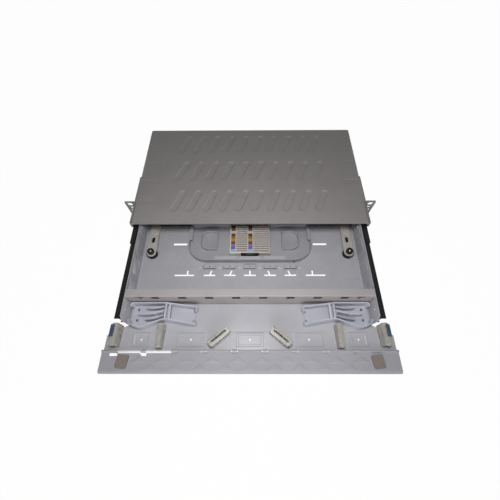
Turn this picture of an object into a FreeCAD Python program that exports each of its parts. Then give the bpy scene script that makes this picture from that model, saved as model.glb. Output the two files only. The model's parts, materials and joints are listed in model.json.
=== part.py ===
import FreeCAD, Part
import math
import os

# Sliding fibre patch panel, one rack unit high, drawer pulled out and front flap folded down.
# Millimetres. X runs along the rack, the front is towards -Y and Z is up. The origin is the
# middle of the ear slots, in the plane where the ears meet the rack.
Vector = FreeCAD.Vector

# Rack standard
RACK_WIDTH = 482.6
UNIT_HEIGHT = 43.6
EAR_SLOT_INSET = 8.75
EAR_SLOT_PITCH = 31.75
EAR_SLOT_LENGTH = 10.2
EAR_SLOT_RADIUS = 3.4
EAR_SMALL_LENGTH = 8.0
EAR_SMALL_RADIUS = 2.25

# Sheet thicknesses and inside bend radius
SHEET = 1.2
COVER_SHEET = 1.5
EAR_SHEET = 2.5
BEND = 0.8

# Chassis
EAR_FLANGE = 21.3
COVER_OVERHANG = 53.0
COVER_SKIRT = 5.8
COVER_HEM = 3.0
CHASSIS_DEPTH = 206.0
APRON_REACH = 46.0
EAR_REACH_BACK = 68.0
EAR_REACH_FRONT = 52.0
EAR_WING_HEIGHT = 12.3
EAR_PLATE_FOOT = 3.8
ENTRY_RADIUS = 11.0
ENTRY_INSET = 53.8
ENTRY_PITCH = 40.0
PLUG_LIP = 2.0

# Pressed grooves of the cover
GROOVE_DEPTH = 2.0
GROOVE_DRAFT = 3.0
GROOVE_LENGTH = 56.0
GROOVE_WIDTH = 15.0
GROOVE_TURN = 70.0
GROOVE_PITCH = 30.6
GROOVE_COUNT = 10
GROOVE_ROWS = 3
GROOVE_ROW_PITCH = 79.0
GROOVE_FIRST_ROW = 1.0
EDGE_GROOVE_DEPTH = 0.9
EDGE_GROOVE_DRAFT = 2.4
EDGE_GROOVE_LENGTH = 38.0
EDGE_GROOVE_WIDTH = 17.0
EDGE_GROOVE_TIP = 10.0
EDGE_GROOVE_PITCH = 51.0
EDGE_GROOVE_COUNT = 4

# Telescopic slides
TRAVEL = 225.0
RAIL_SPACE = 11.0
RAIL_SHEET = 1.0
RAIL_PLAY = 0.35
RAIL_HEIGHT = 26.4
RAIL_LEVEL = -10.7
DRAWER_RAIL_LENGTH = 208.0
MIDDLE_RAIL_SETBACK = 22.0
RAIL_LIP_GAP = 1.6

# Drawer
DRAWER_PLAY = 0.6
DRAWER_REAR_GAP = 4.8
DRAWER_WALL_HEIGHT = 33.0
DRAWER_BEND = 2.5
WALL_LENGTH = 210.0
WALL_CORNER = 8.0
FLARE_LENGTH = 17.0
FRONT_LENGTH = 27.0
WALL_PAD_COUNT = 5
WALL_PAD_LENGTH = 31.0
WALL_PAD_MARGIN = 6.0
WALL_PAD_RISE = 0.8
REAR_LIP_WIDTH = 190.0
REAR_LIP_HEIGHT = 5.0

# Cable tie slots and bridges in the drawer floor
TIE_LINE = 113.5
TIE_PITCH = 37.8
TIE_COUNT = 5
TIE_BAR = 22.0
TIE_WIDTH = 3.4
TIE_STEM = 10.0
TIE_STEM_WIDTH = 3.0
TIE_LEAN = 4.0
TIE_OUTER = 122.7
TIE_OUTER_BAR = 37.0
TIE_OUTER_STEM = 117.0
TIE_SIDE = 137.3
TIE_SIDE_LINE = 44.6
TIE_SIDE_BAR = 27.0
TIE_SIDE_WIDTH = 5.0
BRIDGE_LINE = 97.6
BRIDGE_WIDTH = 30.0
BRIDGE_DEPTH = 7.0
BRIDGE_RISE = 4.6
BRIDGE_HOLE_RADIUS = 1.2

# Raised pads of the front floor and the scored line behind them
PAD_LINE = 235.0
PAD_OFFSET = 99.0
PAD_WIDTH = 46.0
PAD_OUTER_INSET = 24.6
PAD_OUTER_WIDTH = 30.0
PAD_DEPTH = 24.0
PAD_RISE = 0.5
PAD_HOLE_RADIUS = 1.8
SCORE_LINE = 221.0
SCORE_WIDTH = 3.0
SCORE_DEPTH = 0.5
SCORE_INSET = 21.6

# Flap hinge
ROD_RADIUS = 1.5
ROD_END_GAP = 24.3
ROD_FIT = 0.03
FLAP_FIT = 0.05
KNUCKLE_RADIUS = 2.6
KNUCKLE_WIDTH = 8.0
KNUCKLE_PITCH = 49.6
KNUCKLE_COUNT = 8
KNUCKLE_GAP = 1.0
KNUCKLE_FOOT = 4.5
HINGE_OVERLAP = 1.0
HINGE_RISE = 4.5

# Front flap
FLAP_REACH = 35.0
FLAP_BEND = 3.0
FLAP_EDGE = 2.9
ROLL_BARE_INSET = 25.3
ROLL_BARE_LENGTH = 91.0
WINDOW_INSETS = (19.3, 69.3)
WINDOW_WIDTHS = (13.0, 8.0)
WINDOW_REACH = 7.5
NOTCH_REACH = 5.2
TRIANGLE_PATCH_GAP = 12.0
TRIANGLE_COUNT = 10
TRIANGLE_BASE = 29.0
TRIANGLE_HEIGHT = 10.5
TRIANGLE_ROW_PITCH = 12.0
TRIANGLE_LEAD = 8.0
TRIANGLE_RISE = 0.8
PATCH_INSET = 36.3
PATCH_WIDTH = 18.0
PATCH_LENGTH = 21.5
PATCH_HEIGHT = 3.0
PATCH_LEAD = 16.5
PATCH_TURN = 8.0

# Adapter plate
ADAPTER_LINE = 170.0
ADAPTER_HEIGHT = 34.8
ADAPTER_FLANGE = 12.0
ADAPTER_END_GAP = 0.4
ADAPTER_INSET = 49.1
ADAPTER_COUNT = 8
ADAPTER_CUT_WIDTH = 13.4
ADAPTER_CUT_HEIGHT = 9.8
ADAPTER_CUT_DROP = 2.4
ADAPTER_HOLE_RADIUS = 1.8
LATCH_CUT_INSET = 24.1
LATCH_CUT_WIDTH = 15.0
LATCH_CUT_HEIGHT = 3.4
LATCH_STEM_WIDTH = 4.0
LATCH_STEM = 6.0
ADAPTER_SCREW_OFFSET = 135.0

# Splice tray and comb
TRAY_HALF_WIDTH = 118.5
TRAY_SETBACK = 4.0
TRAY_DEPTH = 82.6
TRAY_WALL = 1.6
TRAY_HEIGHT = 10.0
TRAY_FRONT_ROUND = 37.0
TRAY_REAR_ROUND = 7.0
TRAY_TAB_WIDTH = 24.0
TRAY_TAB_DEPTH = 5.0
HUB_NEAR = 62.0
HUB_FAR = 96.0
HUB_DEPTH = 42.0
HUB_ROUND = 16.0
HUB_HEIGHT = 7.0
END_LIP_WIDTH = 7.0
END_LIP_LENGTH = 37.0
FRONT_LIP_NEAR = 17.0
FRONT_LIP_FAR = 63.0
FRONT_LIP_DEPTH = 8.0
COMB_HALF_WIDTH = 39.0
COMB_SETBACK = 4.0
COMB_DEPTH = 64.0
COMB_HEIGHT = 9.0
COMB_SLOTS = 12
COMB_SLOT_WIDTH = 3.2
COMB_SLOT_DEPTH = 5.0
STRIP_WIDTH = 8.0
STRIP_HEIGHT = 0.6
STRIP_PLACES = (-32.0, 1.0)
STRIP_MARGIN = 2.0
CRESCENT_SPAN = 35.0
CRESCENT_BOW = 4.6

# Fan-out guides
GUIDE_FLOOR = 1.6
GUIDE_RIM = 2.2
GUIDE_HEIGHT = 15.0
GUIDE_WALL_GAP = 2.6
GUIDE_PLATE_GAP = 1.8
GUIDE_LENGTH = 116.0
GUIDE_PAD_DEPTH = 46.0
GUIDE_WAIST = 60.0
GUIDE_WAIST_DEPTH = 30.0
GUIDE_BOX_DEPTH = 40.0
GUIDE_NOTCH = 8.0
GUIDE_FIN_HEIGHT = 10.5
GUIDE_BAR_WIDTH = 3.0
GUIDE_BAR_PITCH = 7.0
GUIDE_BAR_HEIGHT = 2.0
GUIDE_SCREW_INSET = 10.0

# Cord clips and corner loops on the front floor
CLIP_LENGTH = 41.0
CLIP_WIDTH = 13.0
CLIP_HEIGHT = 14.0
CLIP_WALL = 1.4
CLIP_ROUND = 4.0
CLIP_SLIT_LENGTH = 30.0
CLIP_SLIT_WIDTH = 3.6
INNER_CLIP_OFFSET = 51.0
INNER_CLIP_LINE = 232.0
INNER_CLIP_TURN = 41.0
OUTER_CLIP_INSET = 58.6
OUTER_CLIP_LINE = 230.5
OUTER_CLIP_WIDTH = 10.5
OUTER_CLIP_TIP = 7.4
OUTER_CLIP_ROUND = 3.0
LOOP_INSET = 20.3
LOOP_LINE = 229.0
LOOP_LENGTH = 38.0
LOOP_WIDTH = 12.0
LOOP_TIP = 8.0
LOOP_HEIGHT = 16.0
LOOP_ROUND = 3.0
CAP_LENGTH = 20.0
CAP_REACH = 5.0
CAP_SHEET = 1.6
CAP_FOOT = 1.5

# Anchor strips and their clamp knobs
ANCHOR_WALL_GAP = 9.1
ANCHOR_WIDTH = 18.0
ANCHOR_SHEET = 1.5
ANCHOR_RISE = 6.0
ANCHOR_FOOT = 9.0
ANCHOR_SETBACK = 5.0
ANCHOR_SLOT_LINE = 40.0
ANCHOR_SLOT_LENGTH = 12.5
ANCHOR_SLOT_WIDTH = 5.6
TONGUE_LENGTH = 22.0
TONGUE_WIDTH = 11.0
TONGUE_RISE = 1.0
SPACER_RADIUS = 10.4
KNOB_LINE = 68.0
KNOB_RADIUS = 6.3
KNOB_HEIGHT = 6.0
KNOB_CHAMFER = 1.2
KNOB_RECESS_RADIUS = 3.4
KNOB_RECESS = 1.5
STUD_RADIUS = 2.0
STUD_FIT = 0.05
STUD_DROP = 0.8

# Fasteners
SCREW_RADIUS = 1.2
SCREW_HEAD_RADIUS = 2.2
SCREW_HEAD_HEIGHT = 1.4
SCREW_FIT = 0.05
COVER_SCREW_SETBACKS = (18.0, 66.0, 114.0)
COVER_SCREW_RISE = 2.0
EAR_SCREW_PLACES = ((16.0, 10.0), (36.0, -10.0), (56.0, 10.0))
RAIL_SCREW_LEVEL = 2.5

# Levels and lines that follow from the sizes above
BOTTOM = -UNIT_HEIGHT / 2
TOP = UNIT_HEIGHT / 2
COVER_UNDER = TOP - COVER_SHEET
SKIRT_END = TOP - COVER_SKIRT
HALF_FRONT = RACK_WIDTH / 2
HALF_BASE = HALF_FRONT - EAR_FLANGE
HALF_INNER = HALF_BASE - SHEET
HALF_EAR = HALF_BASE + EAR_SHEET
HALF_DRAWER = HALF_INNER - RAIL_SPACE
HALF_INSIDE = HALF_DRAWER - SHEET
PAD_FACE = HALF_INSIDE - WALL_PAD_RISE
BASE_FLOOR = BOTTOM + SHEET
REAR_INNER = CHASSIS_DEPTH - SHEET
RAIL_REAR = REAR_INNER - COVER_SHEET
DRAWER_BOTTOM = BASE_FLOOR + DRAWER_PLAY
FLOOR = DRAWER_BOTTOM + SHEET
MID_FLOOR = FLOOR - SHEET / 2
WALL_TOP = DRAWER_BOTTOM + DRAWER_WALL_HEIGHT
DRAWER_REAR = REAR_INNER - DRAWER_REAR_GAP - TRAVEL
WALL_FRONT = DRAWER_REAR - WALL_LENGTH
FLARE_FRONT = WALL_FRONT - FLARE_LENGTH
DRAWER_FRONT = FLARE_FRONT - FRONT_LENGTH
HINGE_Y = DRAWER_FRONT - HINGE_OVERLAP
HINGE_Z = DRAWER_BOTTOM + HINGE_RISE
FLAP_UNDER = HINGE_Z - SHEET / 2
FLAP_TOP = HINGE_Z + SHEET / 2
TRIANGLE_REACH = HALF_FRONT - PATCH_INSET - TRIANGLE_PATCH_GAP - TRIANGLE_BASE / 2
TRIANGLE_PITCH = 2 * TRIANGLE_REACH / (TRIANGLE_COUNT - 1)
ADAPTER_Y = DRAWER_REAR - ADAPTER_LINE
ADAPTER_FRONT = ADAPTER_Y - SHEET
ADAPTER_PITCH = 2 * (HALF_INSIDE - ADAPTER_INSET) / (ADAPTER_COUNT - 1)
PAD_Y = DRAWER_REAR - PAD_LINE
TRAY_FLOOR = FLOOR + TRAY_WALL
TRAY_TOP = FLOOR + TRAY_HEIGHT
TRAY_REAR = DRAWER_REAR - TRAY_SETBACK
TRAY_FRONT = TRAY_REAR - TRAY_DEPTH
COMB_REAR = TRAY_REAR - COMB_SETBACK
COMB_FRONT = COMB_REAR - COMB_DEPTH
COMB_MIDDLE = (COMB_REAR + COMB_FRONT) / 2
COMB_TOP = TRAY_FLOOR + COMB_HEIGHT
GUIDE_LEFT = GUIDE_WALL_GAP - HALF_INSIDE
GUIDE_REAR = ADAPTER_FRONT - GUIDE_PLATE_GAP
GUIDE_FRONT = GUIDE_REAR - GUIDE_PAD_DEPTH
GUIDE_TOP = FLOOR + GUIDE_HEIGHT
LOOP_X = HALF_FRONT - LOOP_INSET
ANCHOR_X = HALF_INSIDE - ANCHOR_WALL_GAP - ANCHOR_WIDTH / 2
ANCHOR_UNDER = FLOOR + ANCHOR_RISE
ANCHOR_TOP = ANCHOR_UNDER + ANCHOR_SHEET
KNOB_Y = DRAWER_REAR - KNOB_LINE
KNOB_TOP = ANCHOR_TOP + KNOB_HEIGHT
STUD_BORE = STUD_RADIUS + STUD_FIT

X_AXIS = Vector(1, 0, 0)
Y_AXIS = Vector(0, 1, 0)
Z_AXIS = Vector(0, 0, 1)
ORIGIN = Vector(0, 0, 0)


def on_floor(u, v):
    """Point of a plan outline: u along X, v along Y."""
    return Vector(u, v, 0)


def on_front(u, v):
    """Point of a section seen from the front: u along X, v along Z."""
    return Vector(u, 0, v)


def on_side(u, v):
    """Point of a section seen from the side: u along Y, v along Z."""
    return Vector(0, u, v)


NORMALS = {on_floor: Z_AXIS, on_front: Y_AXIS, on_side: X_AXIS}


def rounded_wire(corners, place):
    """Closed wire through corners (u, v, radius), each rounded by a tangent arc."""
    points = [place(u, v) for u, v, radius in corners]
    ends = []
    for index, (u, v, radius) in enumerate(corners):
        corner = points[index]
        back = points[index - 1] - corner
        ahead = points[(index + 1) % len(points)] - corner
        back.normalize()
        ahead.normalize()
        if radius == 0:
            ends.append((corner, None, corner))
            continue
        half = back.getAngle(ahead) / 2
        reach = radius / math.tan(half)
        inward = back + ahead
        inward.normalize()
        middle = corner + inward * (radius / math.sin(half) - radius)
        ends.append((corner + back * reach, middle, corner + ahead * reach))
    edges = []
    for index, (start, middle, end) in enumerate(ends):
        if middle is not None:
            edges.append(Part.Arc(start, middle, end).toShape())
        following = ends[(index + 1) % len(ends)][0]
        if end.distanceToPoint(following) > 1e-6:
            edges.append(Part.LineSegment(end, following).toShape())
    return Part.Wire(edges)


def prism(corners, place, start, end):
    """Solid with the rounded outline as its section, from start to end along its normal."""
    normal = NORMALS[place]
    solid = Part.Face(rounded_wire(corners, place)).extrude(normal * (end - start))
    solid.translate(normal * start)
    return solid


def rectangle(u, v, width, depth, radius):
    """Corners of a rectangle centred on u and v."""
    left, right = u - width / 2, u + width / 2
    low, high = v - depth / 2, v + depth / 2
    return [(left, low, radius), (right, low, radius), (right, high, radius), (left, high, radius)]


def channel_section(half_outer, half_inner, under, floor, top, bend):
    """Corners of a folded channel open upwards, seen from the front."""
    outer_bend = bend + half_outer - half_inner
    return [(-half_outer, top, 0), (-half_outer, under, outer_bend), (half_outer, under, outer_bend),
            (half_outer, top, 0), (half_inner, top, 0), (half_inner, floor, bend),
            (-half_inner, floor, bend), (-half_inner, top, 0)]


def block(x0, x1, y0, y1, z0, z1):
    """Rectangular solid between two corners."""
    return Part.makeBox(x1 - x0, y1 - y0, z1 - z0, Vector(x0, y0, z0))


def rod(radius, length, base, direction):
    """Round solid from base along direction."""
    return Part.makeCylinder(radius, length, base, direction)


def revolved(profile, x, y):
    """Ring turned about a vertical axis at x and y from its (radius, height) profile."""
    points = [Vector(radius, 0, height) for radius, height in profile]
    solid = Part.Face(Part.makePolygon(points + [points[0]])).revolve(ORIGIN, Z_AXIS, 360)
    solid.translate(Vector(x, y, 0))
    return solid


def mirrored(shape):
    """Copy on the other side of the panel's middle plane."""
    return shape.mirror(ORIGIN, X_AXIS)


def joined(shapes):
    """One clean solid out of overlapping shapes."""
    return shapes[0].multiFuse(shapes[1:]).removeSplitter()


def without(shape, cuts):
    """Shape with every cutter taken out of it."""
    return shape.cut(Part.makeCompound(cuts))


def spread(count, pitch):
    """Evenly spaced places about the middle."""
    return [(index - (count - 1) / 2) * pitch for index in range(count)]


def screw(base, direction, length):
    """Round-head screw: the head stands on base, the shank goes in against direction."""
    head = rod(SCREW_HEAD_RADIUS, SCREW_HEAD_HEIGHT, base, direction)
    shank = rod(SCREW_RADIUS, length, base - direction * length, direction)
    return head.fuse(shank).removeSplitter()


def screw_group(places, length):
    """All screws of one kind as separate solids."""
    return Part.makeCompound([screw(base, direction, length) for base, direction in places])


def screw_holes(places, length):
    """Clearance holes for screws at the same places."""
    radius = SCREW_RADIUS + SCREW_FIT
    return [rod(radius, length, base - direction * length, direction) for base, direction in places]


def cover_screw_places():
    """Bases and directions of the screws that hold the cover's skirts to the base walls."""
    level = SKIRT_END + COVER_SCREW_RISE
    return [(Vector(side * HALF_BASE, CHASSIS_DEPTH - setback, level), Vector(side, 0, 0))
            for side in (-1, 1) for setback in COVER_SCREW_SETBACKS]


def ear_screw_places(side):
    """Bases and directions of the screws that hold one ear."""
    return [(Vector(side * HALF_EAR, y, z), Vector(side, 0, 0)) for y, z in EAR_SCREW_PLACES]


def wall_pad_places():
    """Y places of the pressed panels along a drawer wall."""
    middle = (DRAWER_REAR + WALL_FRONT) / 2
    return [middle + place for place in spread(WALL_PAD_COUNT, WALL_LENGTH / WALL_PAD_COUNT)]


def rail_screw_places():
    """Bases and directions of the screws that hold the inner rails to the drawer walls."""
    lines = (wall_pad_places()[0], wall_pad_places()[-1])
    return [(Vector(side * PAD_FACE, y, RAIL_SCREW_LEVEL), Vector(-side, 0, 0))
            for side in (-1, 1) for y in lines]


def adapter_screw_places():
    """Bases and directions of the screws through the adapter plate's foot."""
    y = ADAPTER_Y + ADAPTER_FLANGE / 2
    return [(Vector(side * ADAPTER_SCREW_OFFSET, y, FLOOR + SHEET), Z_AXIS) for side in (-1, 1)]


def guide_screw_places():
    """Bases and directions of the two screws in each fan-out guide."""
    x = -GUIDE_LEFT - GUIDE_SCREW_INSET
    lines = (GUIDE_REAR - GUIDE_SCREW_INSET, GUIDE_FRONT + 1.7 * GUIDE_SCREW_INSET)
    return [(Vector(side * x, y, FLOOR + GUIDE_FLOOR), Z_AXIS) for side in (-1, 1) for y in lines]


def groove(x, y, top, grow):
    """Pressed groove below a level, with sloping walls and round ends, grown all round."""
    bottom = top - GROOVE_DEPTH
    top_radius = GROOVE_WIDTH / 2 + grow
    low_radius = top_radius - GROOVE_DRAFT
    half = (GROOVE_LENGTH - GROOVE_WIDTH) / 2
    section = [(-low_radius, bottom, 0), (low_radius, bottom, 0), (top_radius, top, 0), (-top_radius, top, 0)]
    ends = [Part.makeCone(low_radius, top_radius, GROOVE_DEPTH, Vector(side * half, 0, bottom), Z_AXIS)
            for side in (-1, 1)]
    solid = joined([prism(section, on_side, -half, half)] + ends)
    solid.rotate(ORIGIN, Z_AXIS, GROOVE_TURN)
    solid.translate(Vector(x, y, 0))
    return solid


def groove_places():
    """X and Y places of the grooves of the cover."""
    return [(x, GROOVE_FIRST_ROW + row * GROOVE_ROW_PITCH)
            for row in range(GROOVE_ROWS) for x in spread(GROOVE_COUNT, GROOVE_PITCH)]


def edge_groove_wire(side, y, grow, level):
    """Outline of an edge groove at one level, grown all round."""
    edge = side * (HALF_INNER + 1)
    tip = side * (HALF_INNER - EDGE_GROOVE_LENGTH - grow)
    wide, narrow = EDGE_GROOVE_WIDTH / 2 + grow, EDGE_GROOVE_TIP / 2 + grow
    corners = [(edge, y - wide, 0), (edge, y + wide, 0), (tip, y + narrow, 0.7 * narrow),
               (tip, y - narrow, 0.7 * narrow)]
    wire = rounded_wire(corners, on_floor)
    wire.translate(Z_AXIS * level)
    return wire


def edge_groove(side, y):
    """Cutter of a groove with sloping walls that is open at the cover's side edge."""
    low = edge_groove_wire(side, y, -EDGE_GROOVE_DRAFT, TOP - EDGE_GROOVE_DEPTH)
    high = edge_groove_wire(side, y, EDGE_GROOVE_DRAFT, TOP + EDGE_GROOVE_DEPTH)
    return Part.makeLoft([low, high], True, True)


def top_cover():
    """Sheet cover with skirts, a front hem and pressed grooves that stand out underneath."""
    section = channel_section(HALF_INNER, HALF_INNER - COVER_SHEET, -TOP, -COVER_UNDER, -SKIRT_END, BEND)
    turned = [(x, -z, radius) for x, z, radius in section]
    sheet = prism(turned, on_front, -COVER_OVERHANG, REAR_INNER)
    inner = HALF_INNER - COVER_SHEET / 2
    level = TOP - COVER_SHEET / 2
    rear = block(-inner, inner, RAIL_REAR, REAR_INNER, SKIRT_END, level)
    hem = block(-inner, inner, -COVER_OVERHANG, COVER_SHEET - COVER_OVERHANG, TOP - COVER_HEM, level)
    bosses = [groove(x, y, COVER_UNDER, COVER_SHEET / 3) for x, y in groove_places()]
    cuts = [groove(x, y, TOP, 0) for x, y in groove_places()]
    cuts += [edge_groove(side, row * EDGE_GROOVE_PITCH)
             for side in (-1, 1) for row in range(EDGE_GROOVE_COUNT)]
    cuts += screw_holes(cover_screw_places(), SHEET + 2 * COVER_SHEET)
    return without(joined([sheet, rear, hem] + bosses), cuts)


def entry_places():
    """X places of the cable entries in the rear wall."""
    far = HALF_INNER - ENTRY_INSET
    return [side * (far - index * ENTRY_PITCH) for side in (-1, 1) for index in (0, 1)]


def base_shell():
    """Folded base: floor with an apron in front, two side walls and a rear wall with cable entries."""
    section = channel_section(HALF_BASE, HALF_INNER, BOTTOM, BASE_FLOOR, COVER_UNDER, BEND)
    folded = prism(section, on_front, 0, CHASSIS_DEPTH)
    apron = block(-HALF_DRAWER, HALF_DRAWER, -APRON_REACH, SHEET, BOTTOM, BASE_FLOOR)
    rear_low = BASE_FLOOR - SHEET / 2
    rear = block(-HALF_INNER, HALF_INNER, REAR_INNER, CHASSIS_DEPTH, rear_low, COVER_UNDER)
    cuts = [rod(ENTRY_RADIUS, 3 * SHEET, Vector(x, REAR_INNER - SHEET, 0), Y_AXIS) for x in entry_places()]
    cuts += screw_holes(cover_screw_places(), SHEET)
    cuts += screw_holes(ear_screw_places(-1) + ear_screw_places(1), EAR_SHEET + SHEET)
    return without(joined([folded, apron, rear]), cuts)


def entry_plugs():
    """Rubber plugs that close the cable entries of the rear wall."""
    lip = ENTRY_RADIUS + PLUG_LIP
    profile = [(0, REAR_INNER - PLUG_LIP), (lip - 1, REAR_INNER - PLUG_LIP), (lip, REAR_INNER),
               (ENTRY_RADIUS, REAR_INNER), (ENTRY_RADIUS, CHASSIS_DEPTH), (lip, CHASSIS_DEPTH),
               (lip - 1, CHASSIS_DEPTH + PLUG_LIP), (0, CHASSIS_DEPTH + PLUG_LIP)]
    plugs = []
    for x in entry_places():
        plug = revolved(profile, 0, 0)
        plug.rotate(ORIGIN, X_AXIS, -90)
        plug.translate(Vector(x, 0, 0))
        plugs.append(plug)
    return Part.makeCompound(plugs)


def rack_ear():
    """Right-hand ear: side plate, wing along the cover's overhang and slotted flange."""
    wing = COVER_UNDER - EAR_WING_HEIGHT
    foot = BOTTOM + EAR_PLATE_FOOT
    outline = [(EAR_REACH_BACK, foot, 4), (EAR_REACH_BACK, COVER_UNDER, 4),
               (-EAR_REACH_FRONT, COVER_UNDER, 2), (-EAR_REACH_FRONT, wing, 4),
               (-EAR_SHEET, wing, 0), (-EAR_SHEET, foot, 0)]
    plate = prism(outline, on_side, HALF_BASE, HALF_EAR)
    corners = [(HALF_BASE, BOTTOM, 0), (HALF_FRONT, BOTTOM, 2), (HALF_FRONT, TOP, 2), (HALF_BASE, TOP, 0)]
    flange = prism(corners, on_front, -EAR_SHEET, 0)
    cuts = []
    for place in (-2, -1, 0, 1, 2):
        small = place % 2 == 1
        length = EAR_SMALL_LENGTH if small else EAR_SLOT_LENGTH
        radius = EAR_SMALL_RADIUS if small else EAR_SLOT_RADIUS
        level = place * EAR_SLOT_PITCH / 4
        slot = rectangle(HALF_FRONT - EAR_SLOT_INSET, level, length, 2 * radius, radius)
        cuts.append(prism(slot, on_front, -2 * EAR_SHEET, EAR_SHEET))
    cuts += screw_holes(ear_screw_places(1), EAR_SHEET)
    return without(joined([plate, flange]), cuts)


def rail_section(web, towards, lip, low, high):
    """Corners of a rail: a web with a lip along its top and bottom edges."""
    inner = web + towards * RAIL_SHEET
    upper, lower = high - RAIL_SHEET, low + RAIL_SHEET
    return [(web, low, 0), (web, high, 0), (lip, high, 0), (lip, upper, 0),
            (inner, upper, 0), (inner, lower, 0), (lip, lower, 0), (lip, low, 0)]


def rails():
    """Right-hand fixed, middle and drawer rails, nested in one another."""
    step = RAIL_SHEET + RAIL_PLAY
    low, high = RAIL_LEVEL, RAIL_LEVEL + RAIL_HEIGHT
    lip = HALF_DRAWER + RAIL_LIP_GAP
    web = HALF_INNER - step
    fixed = prism(rail_section(HALF_INNER, -1, lip, low, high), on_front, 0, RAIL_REAR)
    middle = prism(rail_section(web, -1, lip, low + step, high - step), on_front,
                   MIDDLE_RAIL_SETBACK - TRAVEL / 2, RAIL_REAR - TRAVEL / 2)
    drawer = prism(rail_section(HALF_DRAWER, 1, web - step, low + 2 * step, high - 2 * step), on_front,
                   DRAWER_REAR - DRAWER_RAIL_LENGTH, DRAWER_REAR)
    holes = screw_holes(rail_screw_places(), WALL_PAD_RISE + SHEET + RAIL_SHEET)
    return fixed, middle, without(drawer, holes)


def tie_places():
    """Tie slots of the front row: bar centre, bar length, stem place and lean of the stem."""
    places = [(x, TIE_BAR, x, -math.copysign(TIE_LEAN, x) if abs(x) > 1 else 0)
              for x in spread(TIE_COUNT, TIE_PITCH)]
    for side in (-1, 1):
        places.append((side * TIE_OUTER, TIE_OUTER_BAR, side * TIE_OUTER_STEM, 0))
    return places


def tie_slot(x, bar, stem_x, lean):
    """Cutter of a T-shaped slot: a bar along X with a stem towards the rear."""
    y = DRAWER_REAR - TIE_LINE
    low, high = DRAWER_BOTTOM - 1, FLOOR + 1
    half = TIE_STEM_WIDTH / 2
    stem = [(stem_x - half, y, 0), (stem_x + half, y, 0), (stem_x + half + lean, y + TIE_STEM, 0),
            (stem_x - half + lean, y + TIE_STEM, 0)]
    bar_cut = block(x - bar / 2, x + bar / 2, y - TIE_WIDTH / 2, y + TIE_WIDTH / 2, low, high)
    return bar_cut.fuse(prism(stem, on_floor, low, high))


def tie_bridge(x):
    """Lanced bridge behind a tie slot, open underneath."""
    y = DRAWER_REAR - BRIDGE_LINE
    half = BRIDGE_WIDTH / 2
    top, under = FLOOR + BRIDGE_RISE, FLOOR + BRIDGE_RISE - SHEET
    outer, inner = half - BRIDGE_RISE, half - 1.5 * SHEET
    shoulder = outer - SHEET / 2
    corners = [(x - half, MID_FLOOR, 0), (x - outer, top, 1.5), (x + outer, top, 1.5), (x + half, MID_FLOOR, 0),
               (x + inner, MID_FLOOR, 0), (x + shoulder, under, 0.4), (x - shoulder, under, 0.4),
               (x - inner, MID_FLOOR, 0)]
    return prism(corners, on_front, y - BRIDGE_DEPTH / 2, y + BRIDGE_DEPTH / 2)


def bridge_holes():
    """Cutters of the small holes through the bridges and of those in the floor between them."""
    y = DRAWER_REAR - BRIDGE_LINE
    high = FLOOR + BRIDGE_RISE + 1
    holes = [rod(BRIDGE_HOLE_RADIUS, 1 + SHEET, Vector(x, y, high - 1 - SHEET), Z_AXIS)
             for x in spread(TIE_COUNT, TIE_PITCH)]
    holes += [rod(BRIDGE_HOLE_RADIUS, high - DRAWER_BOTTOM, Vector(x, y, DRAWER_BOTTOM), Z_AXIS)
              for x in spread(TIE_COUNT + 1, TIE_PITCH)]
    return holes


def hinge_knuckle(x):
    """Knuckle that is welded on the drawer's front edge and wraps the hinge rod."""
    start, end = x - KNUCKLE_WIDTH / 2, x + KNUCKLE_WIDTH / 2
    ring = rod(KNUCKLE_RADIUS, KNUCKLE_WIDTH, Vector(start, HINGE_Y, HINGE_Z), X_AXIS)
    foot = [(HINGE_Y, DRAWER_BOTTOM, 0), (DRAWER_FRONT, DRAWER_BOTTOM, 0), (DRAWER_FRONT, FLOOR, 0),
            (HINGE_Y + KNUCKLE_FOOT, FLOOR, 0), (HINGE_Y + KNUCKLE_RADIUS, HINGE_Z, 0), (HINGE_Y, HINGE_Z, 0)]
    bore = rod(ROD_RADIUS + ROD_FIT, KNUCKLE_WIDTH, Vector(start, HINGE_Y, HINGE_Z), X_AXIS)
    return ring.fuse(prism(foot, on_side, start, end)).cut(bore)


def hinge_knuckles():
    """Row of knuckles along the drawer's front edge."""
    return Part.makeCompound([hinge_knuckle(x) for x in spread(KNUCKLE_COUNT, KNUCKLE_PITCH)])


def wall_pads(side):
    """Shallow pressed panels on the inner face of one drawer wall."""
    level = (FLOOR + WALL_TOP) / 2
    height = WALL_TOP - FLOOR - 2 * WALL_PAD_MARGIN
    outer, inner = side * (HALF_INSIDE + SHEET / 2), side * PAD_FACE
    return [prism(rectangle(y, level, WALL_PAD_LENGTH, height, 2), on_side, outer, inner)
            for y in wall_pad_places()]


def pad_places():
    """X places and widths of the raised pads of the front floor."""
    outer = HALF_INSIDE - PAD_OUTER_INSET
    places = [(0, PAD_WIDTH)]
    for side in (-1, 1):
        places.append((side * PAD_OFFSET, PAD_WIDTH))
        places.append((side * outer, PAD_OUTER_WIDTH))
    return places


def floor_pad(x, width):
    """Raised pad of the front floor."""
    return prism(rectangle(x, PAD_Y, width, PAD_DEPTH, 2), on_floor, MID_FLOOR, FLOOR + PAD_RISE)


def scored_line():
    """Cutter of the shallow V line across the front floor."""
    y = DRAWER_REAR - SCORE_LINE
    half = HALF_INSIDE - SCORE_INSET
    section = [(y - SCORE_WIDTH, FLOOR + SCORE_DEPTH, 0), (y, FLOOR - SCORE_DEPTH, 0),
               (y + SCORE_WIDTH, FLOOR + SCORE_DEPTH, 0)]
    return prism(section, on_side, -half, half)


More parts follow.
